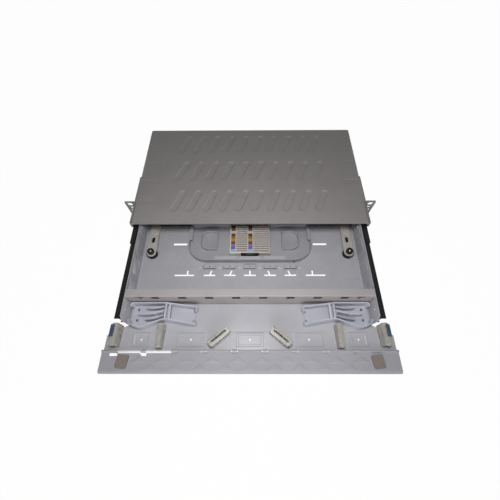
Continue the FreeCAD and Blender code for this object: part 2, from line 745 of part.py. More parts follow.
def drawer_tray():
    """Folded drawer: walls, floor that widens in front, tie slots, bridges and hinge knuckles."""
    section = channel_section(HALF_DRAWER, HALF_INSIDE, DRAWER_BOTTOM, FLOOR, WALL_TOP, DRAWER_BEND)
    root = WALL_FRONT + 2
    plan = [(-HALF_INSIDE, root, 0), (-HALF_DRAWER, WALL_FRONT, 0), (-HALF_FRONT, FLARE_FRONT, 4),
            (-HALF_FRONT, DRAWER_FRONT, 0), (HALF_FRONT, DRAWER_FRONT, 0), (HALF_FRONT, FLARE_FRONT, 4),
            (HALF_DRAWER, WALL_FRONT, 0), (HALF_INSIDE, root, 0)]
    pieces = [prism(section, on_front, WALL_FRONT, DRAWER_REAR), prism(plan, on_floor, DRAWER_BOTTOM, FLOOR)]
    half_lip = REAR_LIP_WIDTH / 2
    lip_top = DRAWER_BOTTOM + REAR_LIP_HEIGHT
    pieces.append(block(-half_lip, half_lip, DRAWER_REAR - SHEET, DRAWER_REAR, MID_FLOOR, lip_top))
    pieces += wall_pads(-1) + wall_pads(1)
    pieces += [tie_bridge(x) for x in spread(TIE_COUNT, TIE_PITCH)]
    pieces += [floor_pad(x, width) for x, width in pad_places()]
    return without(joined(pieces), drawer_cuts())


def drawer_cuts():
    """Every opening of the drawer sheet."""
    low, high = DRAWER_BOTTOM - 1, FLOOR + 1
    cuts = [tie_slot(*place) for place in tie_places()]
    side_y = DRAWER_REAR - TIE_SIDE_LINE
    corner = [(WALL_FRONT - 1, WALL_TOP + 1, 0), (WALL_FRONT - 1, WALL_TOP - WALL_CORNER, 0),
              (WALL_FRONT + WALL_CORNER, WALL_TOP + 1, 0)]
    for side in (-1, 1):
        slot = rectangle(side * TIE_SIDE, side_y, TIE_SIDE_BAR, TIE_SIDE_WIDTH, 1)
        cuts.append(prism(slot, on_floor, low, high))
        cuts.append(rod(STUD_BORE, high - low, Vector(side * ANCHOR_X, KNOB_Y, low), Z_AXIS))
        cuts.append(prism(corner, on_side, side * (HALF_INSIDE - 1), side * (HALF_DRAWER + 1)))
    cuts += [rod(PAD_HOLE_RADIUS, high - low, Vector(x, PAD_Y, low), Z_AXIS) for x, width in pad_places()]
    cuts += bridge_holes()
    cuts.append(scored_line())
    cuts += screw_holes(rail_screw_places(), WALL_PAD_RISE + SHEET)
    cuts += screw_holes(adapter_screw_places(), 2 * SHEET)
    cuts += screw_holes(guide_screw_places(), GUIDE_FLOOR + SHEET)
    return cuts


def hinge_rod():
    """Steel rod through the knuckles of drawer and flap."""
    half = HALF_FRONT - ROD_END_GAP
    return rod(ROD_RADIUS, 2 * half, Vector(-half, HINGE_Y, HINGE_Z), X_AXIS)


def rolled_spans():
    """Spans along X where the flap's edge is rolled round the rod."""
    gap = KNUCKLE_WIDTH / 2 + KNUCKLE_GAP
    knuckles = spread(KNUCKLE_COUNT, KNUCKLE_PITCH)
    bare = ROLL_BARE_INSET - HALF_FRONT
    starts = [x + gap for x in knuckles if x > bare + ROLL_BARE_LENGTH]
    ends = [x - gap for x in knuckles if x > starts[0]] + [HALF_FRONT]
    return [(-HALF_FRONT, bare)] + list(zip(starts, ends))


def pressed_triangles():
    """Two staggered rows of raised triangles on the flap's inner face."""
    pads = []
    half = TRIANGLE_BASE / 2
    for row in (0, 1):
        far = HINGE_Y - TRIANGLE_LEAD - row * TRIANGLE_ROW_PITCH
        near = far - TRIANGLE_HEIGHT
        for x in spread(TRIANGLE_COUNT - row, TRIANGLE_PITCH):
            corners = [(x - half, near, 0), (x + half, near, 0), (x, far, 0)]
            pads.append(prism(corners, on_floor, HINGE_Z, FLAP_TOP + TRIANGLE_RISE))
    return pads


def front_flap():
    """Folded-down flap: rolled hinge edge, plate, pull lip and pressed triangles."""
    inner, outer = HINGE_Y - FLAP_EDGE, HINGE_Y - FLAP_REACH
    section = [(inner, FLAP_UNDER, 0), (outer + SHEET, FLAP_UNDER, FLAP_BEND), (outer + SHEET, BOTTOM, 0),
               (outer, BOTTOM, 0), (outer, FLAP_TOP, FLAP_BEND + SHEET), (inner, FLAP_TOP, 0)]
    pieces = [prism(section, on_side, -HALF_FRONT, HALF_FRONT)]
    for start, end in rolled_spans():
        pieces.append(rod(KNUCKLE_RADIUS, end - start, Vector(start, HINGE_Y, HINGE_Z), X_AXIS))
        pieces.append(block(start, end, inner - SHEET, HINGE_Y, FLAP_UNDER, FLAP_TOP))
    flap = joined(pieces + pressed_triangles())
    cuts = [rod(ROD_RADIUS + FLAP_FIT, RACK_WIDTH, Vector(-HALF_FRONT, HINGE_Y, HINGE_Z), X_AXIS)]
    gap = KNUCKLE_WIDTH / 2 + KNUCKLE_GAP
    low, high = FLAP_UNDER - 1, FLAP_TOP + 1
    cuts += [block(x - gap, x + gap, HINGE_Y - NOTCH_REACH, HINGE_Y, low, high)
             for x in spread(KNUCKLE_COUNT, KNUCKLE_PITCH)]
    for inset, width in zip(WINDOW_INSETS, WINDOW_WIDTHS):
        x = inset - HALF_FRONT
        cuts.append(block(x - width / 2, x + width / 2, HINGE_Y - WINDOW_REACH, inner, low, high))
    return without(flap, cuts)


def flap_pad():
    """Right-hand soft pad on the flap's inner face."""
    pad = prism(rectangle(0, 0, PATCH_WIDTH, PATCH_LENGTH, 3), on_floor, FLAP_TOP, FLAP_TOP + PATCH_HEIGHT)
    pad.rotate(ORIGIN, Z_AXIS, PATCH_TURN)
    pad.translate(Vector(HALF_FRONT - PATCH_INSET, HINGE_Y - PATCH_LEAD, 0))
    return pad


def adapter_plate():
    """Upright plate for the adapters, with a top flange and a foot folded to the rear."""
    half = PAD_FACE - ADAPTER_END_GAP
    top = FLOOR + ADAPTER_HEIGHT
    rear = ADAPTER_Y + ADAPTER_FLANGE
    section = [(ADAPTER_FRONT, FLOOR, BEND + SHEET), (ADAPTER_FRONT, top, BEND + SHEET), (rear, top, 0),
               (rear, top - SHEET, 0), (ADAPTER_Y, top - SHEET, BEND), (ADAPTER_Y, FLOOR + SHEET, BEND),
               (rear, FLOOR + SHEET, 0), (rear, FLOOR, 0)]
    cut_top = top - ADAPTER_CUT_DROP
    level = cut_top - ADAPTER_CUT_HEIGHT / 2
    y0, y1 = ADAPTER_FRONT - 1, ADAPTER_Y + 1
    cuts = [prism(rectangle(x, level, ADAPTER_CUT_WIDTH, ADAPTER_CUT_HEIGHT, 0), on_front, y0, y1)
            for x in spread(ADAPTER_COUNT, ADAPTER_PITCH)]
    bar_end = cut_top - LATCH_CUT_HEIGHT
    for side in (-1, 1):
        x = side * (HALF_INSIDE - LATCH_CUT_INSET)
        bar = block(x - LATCH_CUT_WIDTH / 2, x + LATCH_CUT_WIDTH / 2, y0, y1, bar_end, cut_top)
        stem = block(x - LATCH_STEM_WIDTH / 2, x + LATCH_STEM_WIDTH / 2, y0, y1, bar_end - LATCH_STEM, cut_top)
        cuts.append(bar.fuse(stem))
        inner, outer = HALF_INSIDE - DRAWER_BEND - ADAPTER_END_GAP, half + DRAWER_BEND
        corner = [(side * inner, FLOOR, 0), (side * outer, FLOOR, 0), (side * outer, FLOOR + outer - inner, 0)]
        cuts.append(prism(corner, on_front, y0, rear + 1))
    cuts.append(rod(ADAPTER_HOLE_RADIUS, y1 - y0, Vector(0, y0, level), Y_AXIS))
    cuts += screw_holes(adapter_screw_places(), SHEET)
    return without(prism(section, on_side, -half, half), cuts)


def tray_outline(inset):
    """Plan of the splice tray: square at the rear, widely rounded at the front."""
    x = TRAY_HALF_WIDTH - inset
    rear_round, front_round = TRAY_REAR_ROUND - inset, TRAY_FRONT_ROUND - inset
    return [(-x, TRAY_REAR - inset, rear_round), (x, TRAY_REAR - inset, rear_round),
            (x, TRAY_FRONT + inset, front_round), (-x, TRAY_FRONT + inset, front_round)]


def hub_outline(side, inset):
    """Plan of a fibre hub, flat towards the comb and round away from it."""
    near, far = side * (HUB_NEAR + inset), side * (HUB_FAR - inset)
    rear, front = COMB_MIDDLE + HUB_DEPTH / 2 - inset, COMB_MIDDLE - HUB_DEPTH / 2 + inset
    return [(near, rear, 2), (far, rear, HUB_ROUND - inset), (far, front, HUB_ROUND - inset), (near, front, 2)]


def splice_tray():
    """Moulded tray: rim, two fibre hubs, retaining lips and a front tab."""
    shell = prism(tray_outline(0), on_floor, FLOOR, TRAY_TOP)
    hollow = prism(tray_outline(TRAY_WALL), on_floor, TRAY_FLOOR, TRAY_TOP + 1)
    root = TRAY_WALL / 2
    lip_low = TRAY_TOP - TRAY_WALL
    end_lip = block(TRAY_HALF_WIDTH - END_LIP_WIDTH, TRAY_HALF_WIDTH, TRAY_REAR - END_LIP_LENGTH, TRAY_REAR,
                    lip_low, TRAY_TOP).common(shell)
    front_lip = block(FRONT_LIP_NEAR, FRONT_LIP_FAR, TRAY_FRONT + root, TRAY_FRONT + FRONT_LIP_DEPTH,
                      lip_low, TRAY_TOP)
    pieces = [shell.cut(hollow), end_lip, mirrored(end_lip), front_lip, mirrored(front_lip)]
    for side in (-1, 1):
        hub = prism(hub_outline(side, 0), on_floor, TRAY_FLOOR - root, TRAY_FLOOR + HUB_HEIGHT)
        pieces.append(hub.cut(prism(hub_outline(side, TRAY_WALL), on_floor, TRAY_FLOOR, TRAY_TOP)))
    tab_y = TRAY_FRONT - TRAY_TAB_DEPTH / 2 + 1
    tab = prism(rectangle(0, tab_y, TRAY_TAB_WIDTH, TRAY_TAB_DEPTH, 1.5), on_floor, FLOOR, TRAY_FLOOR)
    return joined(pieces + [tab])


def splice_comb():
    """Block with splice slots in two columns, each beside a colour strip."""
    plan = rectangle(0, COMB_MIDDLE, 2 * COMB_HALF_WIDTH, COMB_DEPTH, 1.5)
    edge = STRIP_WIDTH / 2 + STRIP_MARGIN
    left, right = STRIP_PLACES
    spans = [(left + edge, right - edge), (right + edge, COMB_HALF_WIDTH - STRIP_MARGIN)]
    half = COMB_SLOT_WIDTH / 2
    cuts = []
    for place in spread(COMB_SLOTS, COMB_DEPTH / (COMB_SLOTS + 1)):
        y = COMB_MIDDLE + place
        cuts += [block(start, end, y - half, y + half, COMB_TOP - COMB_SLOT_DEPTH, COMB_TOP + 1)
                 for start, end in spans]
    return without(prism(plan, on_floor, TRAY_FLOOR, COMB_TOP), cuts)


def colour_strips():
    """Two flat strips that carry the fibre colours."""
    half = STRIP_WIDTH / 2
    front, rear = COMB_FRONT + STRIP_MARGIN, COMB_REAR - STRIP_MARGIN
    return Part.makeCompound([block(x - half, x + half, front, rear, COMB_TOP, COMB_TOP + STRIP_HEIGHT)
                              for x in STRIP_PLACES])


def comb_clip():
    """Crescent clip that stands against the comb's front edge."""
    left = Vector(-CRESCENT_SPAN / 2, COMB_FRONT, TRAY_FLOOR)
    right = Vector(CRESCENT_SPAN / 2, COMB_FRONT, TRAY_FLOOR)
    bow = Part.Arc(left, Vector(0, COMB_FRONT - CRESCENT_BOW, TRAY_FLOOR), right).toShape()
    chord = Part.LineSegment(right, left).toShape()
    return Part.Face(Part.Wire([bow, chord])).extrude(Z_AXIS * (COMB_HEIGHT + STRIP_HEIGHT))


def guide_outline():
    """Plan of the left-hand guide: wide pad, waist and box with a notched end."""
    waist = GUIDE_LEFT + GUIDE_WAIST
    right = GUIDE_LEFT + GUIDE_LENGTH
    box_front = GUIDE_REAR - GUIDE_BOX_DEPTH
    box_rear = GUIDE_REAR - GUIDE_NOTCH
    return [(GUIDE_LEFT, GUIDE_REAR, 4), (waist, GUIDE_REAR, 30), (right, box_rear, 2.5),
            (right - GUIDE_NOTCH, (box_rear + box_front) / 2, 12), (right - 1, box_front, 2.5),
            (waist, GUIDE_REAR - GUIDE_WAIST_DEPTH, 25), (GUIDE_LEFT + GUIDE_WAIST / 3, GUIDE_FRONT, 24),
            (GUIDE_LEFT, GUIDE_FRONT + GUIDE_NOTCH, 6)]


def guide_fin(tip_x, tip_y, end_x, end_y, width):
    """Curved fin of a fan-out guide, drawn to a point at its tip."""
    base = FLOOR + GUIDE_FLOOR / 2
    start, finish = Vector(tip_x, tip_y, base), Vector(end_x, end_y, base)
    half = Vector(0, width / 2, 0)
    middle = (start + finish) * 0.5 - half
    lower = Part.Arc(start, middle - half, finish - half).toShape()
    cap = Part.LineSegment(finish - half, finish + half).toShape()
    upper = Part.Arc(finish + half, middle + half, start).toShape()
    return Part.Face(Part.Wire([lower, cap, upper])).extrude(Z_AXIS * (GUIDE_FIN_HEIGHT + GUIDE_FLOOR / 2))


def fan_guide():
    """Left-hand moulded guide: floor, rim, three curved fins and two bars over the waist."""
    outline = guide_outline()
    waist, right = outline[1][0], outline[2][0]
    low, high = FLOOR + GUIDE_FLOOR, GUIDE_TOP + 1
    solid = prism(outline, on_floor, FLOOR, GUIDE_TOP)
    inside = Part.Face(rounded_wire(outline, on_floor)).makeOffset2D(-GUIDE_RIM)
    hollow = inside.extrude(Z_AXIS * GUIDE_HEIGHT)
    hollow.translate(Z_AXIS * low)
    exit_cut = block(GUIDE_LEFT - 1, GUIDE_LEFT + 2 * GUIDE_RIM, GUIDE_FRONT + 2 * GUIDE_NOTCH,
                     GUIDE_REAR - GUIDE_NOTCH, low, high)
    mouth = block(right - 2.4 * GUIDE_NOTCH, right + 1, GUIDE_REAR - GUIDE_BOX_DEPTH + GUIDE_NOTCH,
                  GUIDE_REAR - 2 * GUIDE_NOTCH, low, high)
    body = without(solid, [hollow, exit_cut, mouth])
    fin_end = waist - GUIDE_BAR_WIDTH
    fins = [guide_fin(GUIDE_LEFT + 24, GUIDE_REAR - 10, fin_end, GUIDE_REAR - 6.5, 2.8),
            guide_fin(GUIDE_LEFT + 12, GUIDE_REAR - 21, fin_end, GUIDE_REAR - 14.5, 3.6),
            guide_fin(GUIDE_LEFT + 26, GUIDE_REAR - 31, fin_end, GUIDE_REAR - 22.5, 2.8)]
    bar_low = GUIDE_TOP - GUIDE_BAR_HEIGHT
    bars = [block(x, x + GUIDE_BAR_WIDTH, GUIDE_FRONT, GUIDE_REAR, bar_low, GUIDE_TOP).common(solid)
            for x in (waist, waist + GUIDE_BAR_PITCH)]
    return without(joined([body] + fins + bars), screw_holes(guide_screw_places(), GUIDE_FLOOR))


def cord_tube(length, width, tip, height, rounding):
    """Cord clip along X, narrowing to its front tip, with a tunnel from end to end."""
    rear_half, tip_half = width / 2, tip / 2
    plan = [(-length / 2, -rear_half, rounding), (length / 2, -tip_half, rounding),
            (length / 2, tip_half, rounding), (-length / 2, rear_half, rounding)]
    tunnel = rectangle(0, FLOOR + height / 2, tip - 2 * CLIP_WALL, height - 2 * CLIP_WALL, CLIP_WALL)
    return prism(plan, on_floor, FLOOR, FLOOR + height).cut(prism(tunnel, on_side, -length, length))


def inner_clip():
    """Straight cord clip with a slit along its top."""
    top = FLOOR + CLIP_HEIGHT
    slit = rectangle(0, 0, CLIP_SLIT_LENGTH, CLIP_SLIT_WIDTH, CLIP_SLIT_WIDTH / 2)
    tube = cord_tube(CLIP_LENGTH, CLIP_WIDTH, CLIP_WIDTH, CLIP_HEIGHT, CLIP_ROUND)
    return tube.cut(prism(slit, on_floor, top - 2 * CLIP_WALL, top + 1))


def placed(shape, x, line, turn):
    """Shape turned about Z and set on the right-hand floor, line away from the drawer's rear edge."""
    shape.rotate(ORIGIN, Z_AXIS, -turn)
    shape.translate(Vector(x, DRAWER_REAR - line, 0))
    return shape


def loop_cap():
    """Angle piece over the outer rear edge of the right-hand corner loop."""
    outer = LOOP_X + LOOP_WIDTH / 2
    top = FLOOR + LOOP_HEIGHT
    rear = DRAWER_REAR - LOOP_LINE + LOOP_LENGTH / 2 - LOOP_ROUND
    corners = [(outer, FLOOR + CAP_FOOT, 0), (outer, top, 0), (outer - CAP_REACH, top, 0),
               (outer - CAP_REACH, top + CAP_SHEET, 0.6), (outer + CAP_SHEET, top + CAP_SHEET, 1.5),
               (outer + CAP_SHEET, FLOOR + CAP_FOOT, 0.6)]
    return prism(corners, on_front, rear - CAP_LENGTH, rear)


def anchor_strip():
    """Right-hand raised strip with a rear leg, a pressed tongue, a slot and a round front end."""
    rear = DRAWER_REAR - ANCHOR_SETBACK
    front = KNOB_Y - ANCHOR_WIDTH / 2
    inner, outer = ANCHOR_X - ANCHOR_WIDTH / 2, ANCHOR_X + ANCHOR_WIDTH / 2
    end_round = ANCHOR_WIDTH / 2
    plan = [(inner, rear, 0), (outer, rear, 0), (outer, front, end_round), (inner, front, end_round)]
    plate = prism(plan, on_floor, ANCHOR_UNDER, ANCHOR_TOP)
    leg = block(inner, outer, rear - ANCHOR_SHEET, rear, FLOOR, ANCHOR_TOP)
    foot = block(inner, outer, rear - ANCHOR_FOOT, rear, FLOOR, FLOOR + ANCHOR_SHEET)
    half = TONGUE_WIDTH / 2
    tip = rear - TONGUE_LENGTH
    tongue = [(ANCHOR_X - half, rear, 0), (ANCHOR_X + half, rear, 0), (ANCHOR_X + half, tip, half),
              (ANCHOR_X - half, tip, half)]
    strip = joined([plate, leg, foot, prism(tongue, on_floor, ANCHOR_UNDER, ANCHOR_TOP + TONGUE_RISE)])
    slot_y = DRAWER_REAR - ANCHOR_SLOT_LINE
    slot = rectangle(ANCHOR_X, slot_y, ANCHOR_SLOT_WIDTH, ANCHOR_SLOT_LENGTH, ANCHOR_SLOT_WIDTH / 2)
    stud = rod(STUD_BORE, ANCHOR_RISE, Vector(ANCHOR_X, KNOB_Y, ANCHOR_UNDER - 1), Z_AXIS)
    return without(strip, [prism(slot, on_floor, ANCHOR_UNDER - 1, ANCHOR_TOP + 1), stud])


def strip_spacers():
    """Round spacers that carry the front ends of the anchor strips."""
    profile = [(STUD_BORE, FLOOR), (SPACER_RADIUS, FLOOR), (SPACER_RADIUS, ANCHOR_UNDER),
               (STUD_BORE, ANCHOR_UNDER)]
    return Part.makeCompound([revolved(profile, side * ANCHOR_X, KNOB_Y) for side in (-1, 1)])


def clamp_studs():
    """Studs that stand in the drawer floor and carry the clamp knobs."""
    length = KNOB_TOP - STUD_DROP - DRAWER_BOTTOM
    return Part.makeCompound([rod(STUD_RADIUS, length, Vector(side * ANCHOR_X, KNOB_Y, DRAWER_BOTTOM), Z_AXIS)
                              for side in (-1, 1)])


def clamp_knob():
    """Right-hand knob that turns on its stud, with a recess in its top."""
    edge = KNOB_RADIUS - KNOB_CHAMFER
    recess = KNOB_TOP - KNOB_RECESS
    profile = [(STUD_BORE, ANCHOR_TOP), (edge, ANCHOR_TOP), (KNOB_RADIUS, ANCHOR_TOP + KNOB_CHAMFER),
               (KNOB_RADIUS, KNOB_TOP - KNOB_CHAMFER), (edge, KNOB_TOP), (KNOB_RECESS_RADIUS, KNOB_TOP),
               (KNOB_RECESS_RADIUS, recess), (STUD_BORE, recess)]
    return revolved(profile, ANCHOR_X, KNOB_Y)


def export(shape, name):
    """Write one piece to its own file."""
    shape.exportStep("parts/" + name + ".step")


def export_pair(right_hand, name):
    """Write a right-hand piece and its mirrored twin."""
    export(right_hand, name + "_right")
    export(mirrored(right_hand), name + "_left")


def build():
    """Make every piece and write it out."""
    export(top_cover(), "top_cover")
    export(base_shell(), "base_shell")
    export(entry_plugs(), "entry_plugs")
    export_pair(rack_ear(), "rack_ear")
    for rail, name in zip(rails(), ("fixed_rail", "middle_rail", "drawer_rail")):
        export_pair(rail, name)
    export(screw_group(cover_screw_places(), SHEET + COVER_SHEET), "cover_screws")
    export(screw_group(ear_screw_places(-1) + ear_screw_places(1), EAR_SHEET + SHEET), "ear_screws")
    export(screw_group(rail_screw_places(), WALL_PAD_RISE + SHEET + RAIL_SHEET), "rail_screws")
    export(screw_group(adapter_screw_places(), 2 * SHEET), "adapter_screws")
    export(screw_group(guide_screw_places(), GUIDE_FLOOR + SHEET), "guide_screws")
    export(drawer_tray(), "drawer_tray")
    export(adapter_plate(), "adapter_plate")
    export(splice_tray(), "splice_tray")
    export(splice_comb(), "splice_comb")
    export(colour_strips(), "colour_strips")
    export(comb_clip(), "comb_clip")
    export_pair(mirrored(fan_guide()), "fan_guide")
    export_pair(placed(inner_clip(), INNER_CLIP_OFFSET, INNER_CLIP_LINE, INNER_CLIP_TURN), "inner_clip")
    outer = cord_tube(CLIP_LENGTH, OUTER_CLIP_WIDTH, OUTER_CLIP_TIP, CLIP_HEIGHT, OUTER_CLIP_ROUND)
    export_pair(placed(outer, HALF_INSIDE - OUTER_CLIP_INSET, OUTER_CLIP_LINE, 90), "outer_clip")
    loop = cord_tube(LOOP_LENGTH, LOOP_WIDTH, LOOP_TIP, LOOP_HEIGHT, LOOP_ROUND)
    export_pair(placed(loop, LOOP_X, LOOP_LINE, 90), "corner_loop")
    export_pair(loop_cap(), "loop_cap")
    export_pair(anchor_strip(), "anchor_strip")
    export(strip_spacers(), "strip_spacers")
    export(clamp_studs(), "clamp_studs")
    export_pair(clamp_knob(), "clamp_knob")
    export(hinge_knuckles(), "hinge_knuckles")
    export(hinge_rod(), "hinge_rod")
    export(front_flap(), "front_flap")
    export_pair(flap_pad(), "flap_pad")


os.makedirs("parts", exist_ok=True)
build()
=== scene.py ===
"""Looks of a sliding fibre patch panel with its drawer out and its front flap down.

Every length is in metres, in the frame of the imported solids: X along the rack, the front
towards -Y, Z up. Solids are stood for by copies with rounded edges, screws and knobs are
modelled anew, a few small sheet and moulded forms are added, and every surface has a finish
of its own.
"""
import json
import logging
import math
from abc import ABC, abstractmethod
from collections.abc import Callable, Iterable
from dataclasses import dataclass
from enum import Enum
from functools import cache

import bmesh
import bpy
from mathutils import Matrix, Vector
from mathutils.bvhtree import BVHTree
from mathutils.kdtree import KDTree

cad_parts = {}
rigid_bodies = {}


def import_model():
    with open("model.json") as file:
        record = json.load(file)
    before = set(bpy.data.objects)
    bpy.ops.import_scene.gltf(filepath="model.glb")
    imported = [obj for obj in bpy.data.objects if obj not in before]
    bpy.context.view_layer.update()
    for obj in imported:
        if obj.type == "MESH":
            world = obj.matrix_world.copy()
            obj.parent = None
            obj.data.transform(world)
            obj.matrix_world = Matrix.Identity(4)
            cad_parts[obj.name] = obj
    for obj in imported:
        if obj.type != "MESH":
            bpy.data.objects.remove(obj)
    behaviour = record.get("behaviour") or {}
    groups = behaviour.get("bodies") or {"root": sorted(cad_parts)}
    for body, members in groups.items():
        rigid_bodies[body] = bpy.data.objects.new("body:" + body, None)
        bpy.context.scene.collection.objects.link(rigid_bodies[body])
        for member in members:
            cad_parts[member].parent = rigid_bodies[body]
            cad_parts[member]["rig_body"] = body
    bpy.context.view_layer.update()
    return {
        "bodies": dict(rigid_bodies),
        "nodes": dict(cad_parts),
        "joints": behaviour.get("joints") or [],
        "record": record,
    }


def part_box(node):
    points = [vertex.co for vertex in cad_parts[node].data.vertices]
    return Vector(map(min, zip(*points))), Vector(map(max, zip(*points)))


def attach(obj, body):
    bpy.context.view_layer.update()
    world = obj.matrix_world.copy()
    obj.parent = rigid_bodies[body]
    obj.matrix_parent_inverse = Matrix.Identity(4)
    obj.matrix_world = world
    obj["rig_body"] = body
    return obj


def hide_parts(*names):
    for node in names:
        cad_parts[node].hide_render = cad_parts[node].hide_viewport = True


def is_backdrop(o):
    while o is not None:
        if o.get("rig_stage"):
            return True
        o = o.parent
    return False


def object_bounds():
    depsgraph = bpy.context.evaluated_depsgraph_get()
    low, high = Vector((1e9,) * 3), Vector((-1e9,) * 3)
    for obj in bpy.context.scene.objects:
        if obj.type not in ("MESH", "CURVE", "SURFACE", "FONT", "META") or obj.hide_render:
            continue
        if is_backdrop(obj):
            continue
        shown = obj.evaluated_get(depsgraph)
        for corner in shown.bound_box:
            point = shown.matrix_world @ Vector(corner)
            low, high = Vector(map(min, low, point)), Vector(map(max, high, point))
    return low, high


LOG = logging.getLogger("patch_panel")
MM = 0.001

# Photograph and camera
IMAGE_SIDE = 500
SENSOR = 36.0

# Copies of the solids
MERGE_REACH = 0.002 * MM
LEVEL_REACH = 0.02 * MM
LEVEL_NORMAL = 0.99
FLAT_ANGLE = math.radians(0.5)
SHARP_ANGLE = math.radians(32)
CREASE_ANGLE = math.radians(38)
PRESSED_CREASE = math.radians(16)

# Rounding of edges: lengths as shares of the rounding's width, the turn as a cosine
SHORTEST_EDGE = 1.2
STRAY_OFFSET = 0.75
STRAY_REACH = 3.0
STRAY_TURN = 0.3
EDGE_FACETS = 2
SOFT_FACETS = 3

# Patterns of the finishes
NOISE_LOW = 0.3
NOISE_HIGH = 0.7
MOTTLE_LOW = 0.32
MOTTLE_HIGH = 0.68
MOTTLE_DETAIL = 5.0
GRAIN_DETAIL = 2.0
SUBSURFACE_DEPTH = 2.0 * MM

Colour = tuple[float, float, float]
Place = tuple[float, float, float]
Box = tuple[Vector, Vector]


class Axis(Enum):
    """Directions in which a screw's head can point."""

    LEFT = (-1.0, 0.0, 0.0)
    RIGHT = (1.0, 0.0, 0.0)
    UP = (0.0, 0.0, 1.0)


class Side(Enum):
    """The two sides of the panel, with the sign of X on each."""

    LEFT = -1
    RIGHT = 1

    def of(self, kind: str) -> str:
        """Name this side's solid of a kind."""
        return f"{kind}_{self.name.lower()}"


class Blending(Enum):
    """How a pattern's colours change from one to the next."""

    SMOOTH = "LINEAR"
    STEPPED = "CONSTANT"


class NodeTree:
    """Adds and links the nodes of a material or a world."""

    def __init__(self, owner: bpy.types.Material | bpy.types.World) -> None:
        """Switch the owner's nodes on.

        Args:
            owner: Material or world that has the nodes.
        """
        owner.use_nodes = True
        self.owner = owner
        self.nodes = owner.node_tree.nodes
        self.links = owner.node_tree.links

    def set_inputs(self, node: bpy.types.Node, values: dict[str, float | tuple]) -> None:
        """Set constants on a node.

        Args:
            node: The node.
            values: Names of its inputs with their constants.
        """
        for name, value in values.items():
            node.inputs[name].default_value = value

    def add(self, kind: str, values: dict[str, float | tuple]) -> bpy.types.Node:
        """Add a node with constants on its inputs.

        Args:
            kind: Type of the node.
            values: Names of its inputs with their constants.

        Returns:
            The new node.
        """
        node = self.nodes.new(kind)
        self.set_inputs(node, values)
        return node

    def link(self, source: bpy.types.NodeSocket, target: bpy.types.NodeSocket) -> None:
        """Join an output to an input."""
        self.links.new(source, target)

    def map_range(self, value: bpy.types.NodeSocket, values: dict[str, float]) -> bpy.types.NodeSocket:
        """Add a map from one range of values to another.

        Args:
            value: Socket that is mapped.
            values: Ends of the two ranges that differ from 0 and 1.

        Returns:
            The mapped value's socket.
        """
        node = self.add("ShaderNodeMapRange", values)
        self.link(value, node.inputs["Value"])
        return node.outputs["Result"]

    def white_switch(self) -> bpy.types.NodeSocket:
        """Add a switch for the rays that see the white background.

        Returns:
            A socket that is 1 for camera, glossy and transmitted rays and 0 for the rest.
        """
        rays = self.nodes.new("ShaderNodeLightPath").outputs
        switch = rays["Is Camera Ray"]
        for kind in ("Is Transmission Ray", "Is Glossy Ray"):
            larger = self.nodes.new("ShaderNodeMath")
            larger.operation = "MAXIMUM"
            self.link(switch, larger.inputs[0])
            self.link(rays[kind], larger.inputs[1])
            switch = larger.outputs["Value"]
        return switch


class Surface(NodeTree):
    """Nodes of one material, round its main shader."""

    def __init__(self, name: str) -> None:
        """Start a material with a single shader.

        Args:
            name: Name of the material.
        """
        super().__init__(bpy.data.materials.new(name))
        self.shader = self.nodes["Principled BSDF"]
        self.coords = self.nodes.new("ShaderNodeTexCoord").outputs["Object"]

    def noise(self, scale: float, detail: float,
              stretch: Place = (1.0, 1.0, 1.0)) -> bpy.types.NodeSocket:
        """Add a noise pattern on object coordinates.

        Args:
            scale: Features per metre.
            detail: Octaves of the pattern.
            stretch: Share of the scale along each axis.

        Returns:
            The pattern's value socket.
        """
        mapping = self.add("ShaderNodeMapping", {"Scale": stretch})
        self.link(self.coords, mapping.inputs["Vector"])
        texture = self.add("ShaderNodeTexNoise", {"Scale": scale, "Detail": detail})
        self.link(mapping.outputs["Vector"], texture.inputs["Vector"])
        return texture.outputs["Fac"]

    def paint(self, value: bpy.types.NodeSocket, stops: list[tuple[float, Colour]],
              blending: Blending = Blending.SMOOTH) -> None:
        """Colour the shader by a pattern.

        Args:
            value: Socket that drives the colour.
            stops: Positions and colours.
            blending: How the colours change between the positions.
        """
        node = self.nodes.new("ShaderNodeValToRGB")
        node.color_ramp.interpolation = blending.value
        elements = node.color_ramp.elements
        while len(elements) < len(stops):
            elements.new(1.0)
        for element, (position, colour) in zip(elements, stops):
            element.position = position
            element.color = (*colour, 1.0)
        self.link(value, node.inputs["Fac"])
        self.link(node.outputs["Color"], self.shader.inputs["Base Color"])

    def gloss(self, value: bpy.types.NodeSocket, low: float, high: float) -> None:
        """Vary the shader's roughness by a noise pattern.

        Args:
            value: The pattern's socket.
            low: Least roughness.
            high: Greatest roughness.
        """
        ends = {"From Min": NOISE_LOW, "From Max": NOISE_HIGH, "To Min": low, "To Max": high}
        self.link(self.map_range(value, ends), self.shader.inputs["Roughness"])

    def relief(self, value: bpy.types.NodeSocket, depth: float) -> None:
        """Add fine relief to the shader.

        Args:
            value: The pattern's socket.
            depth: Height of the relief.
        """
        node = self.add("ShaderNodeBump", {"Strength": 1.0, "Distance": depth})
        self.link(value, node.inputs["Height"])
        self.link(node.outputs["Normal"], self.shader.inputs["Normal"])


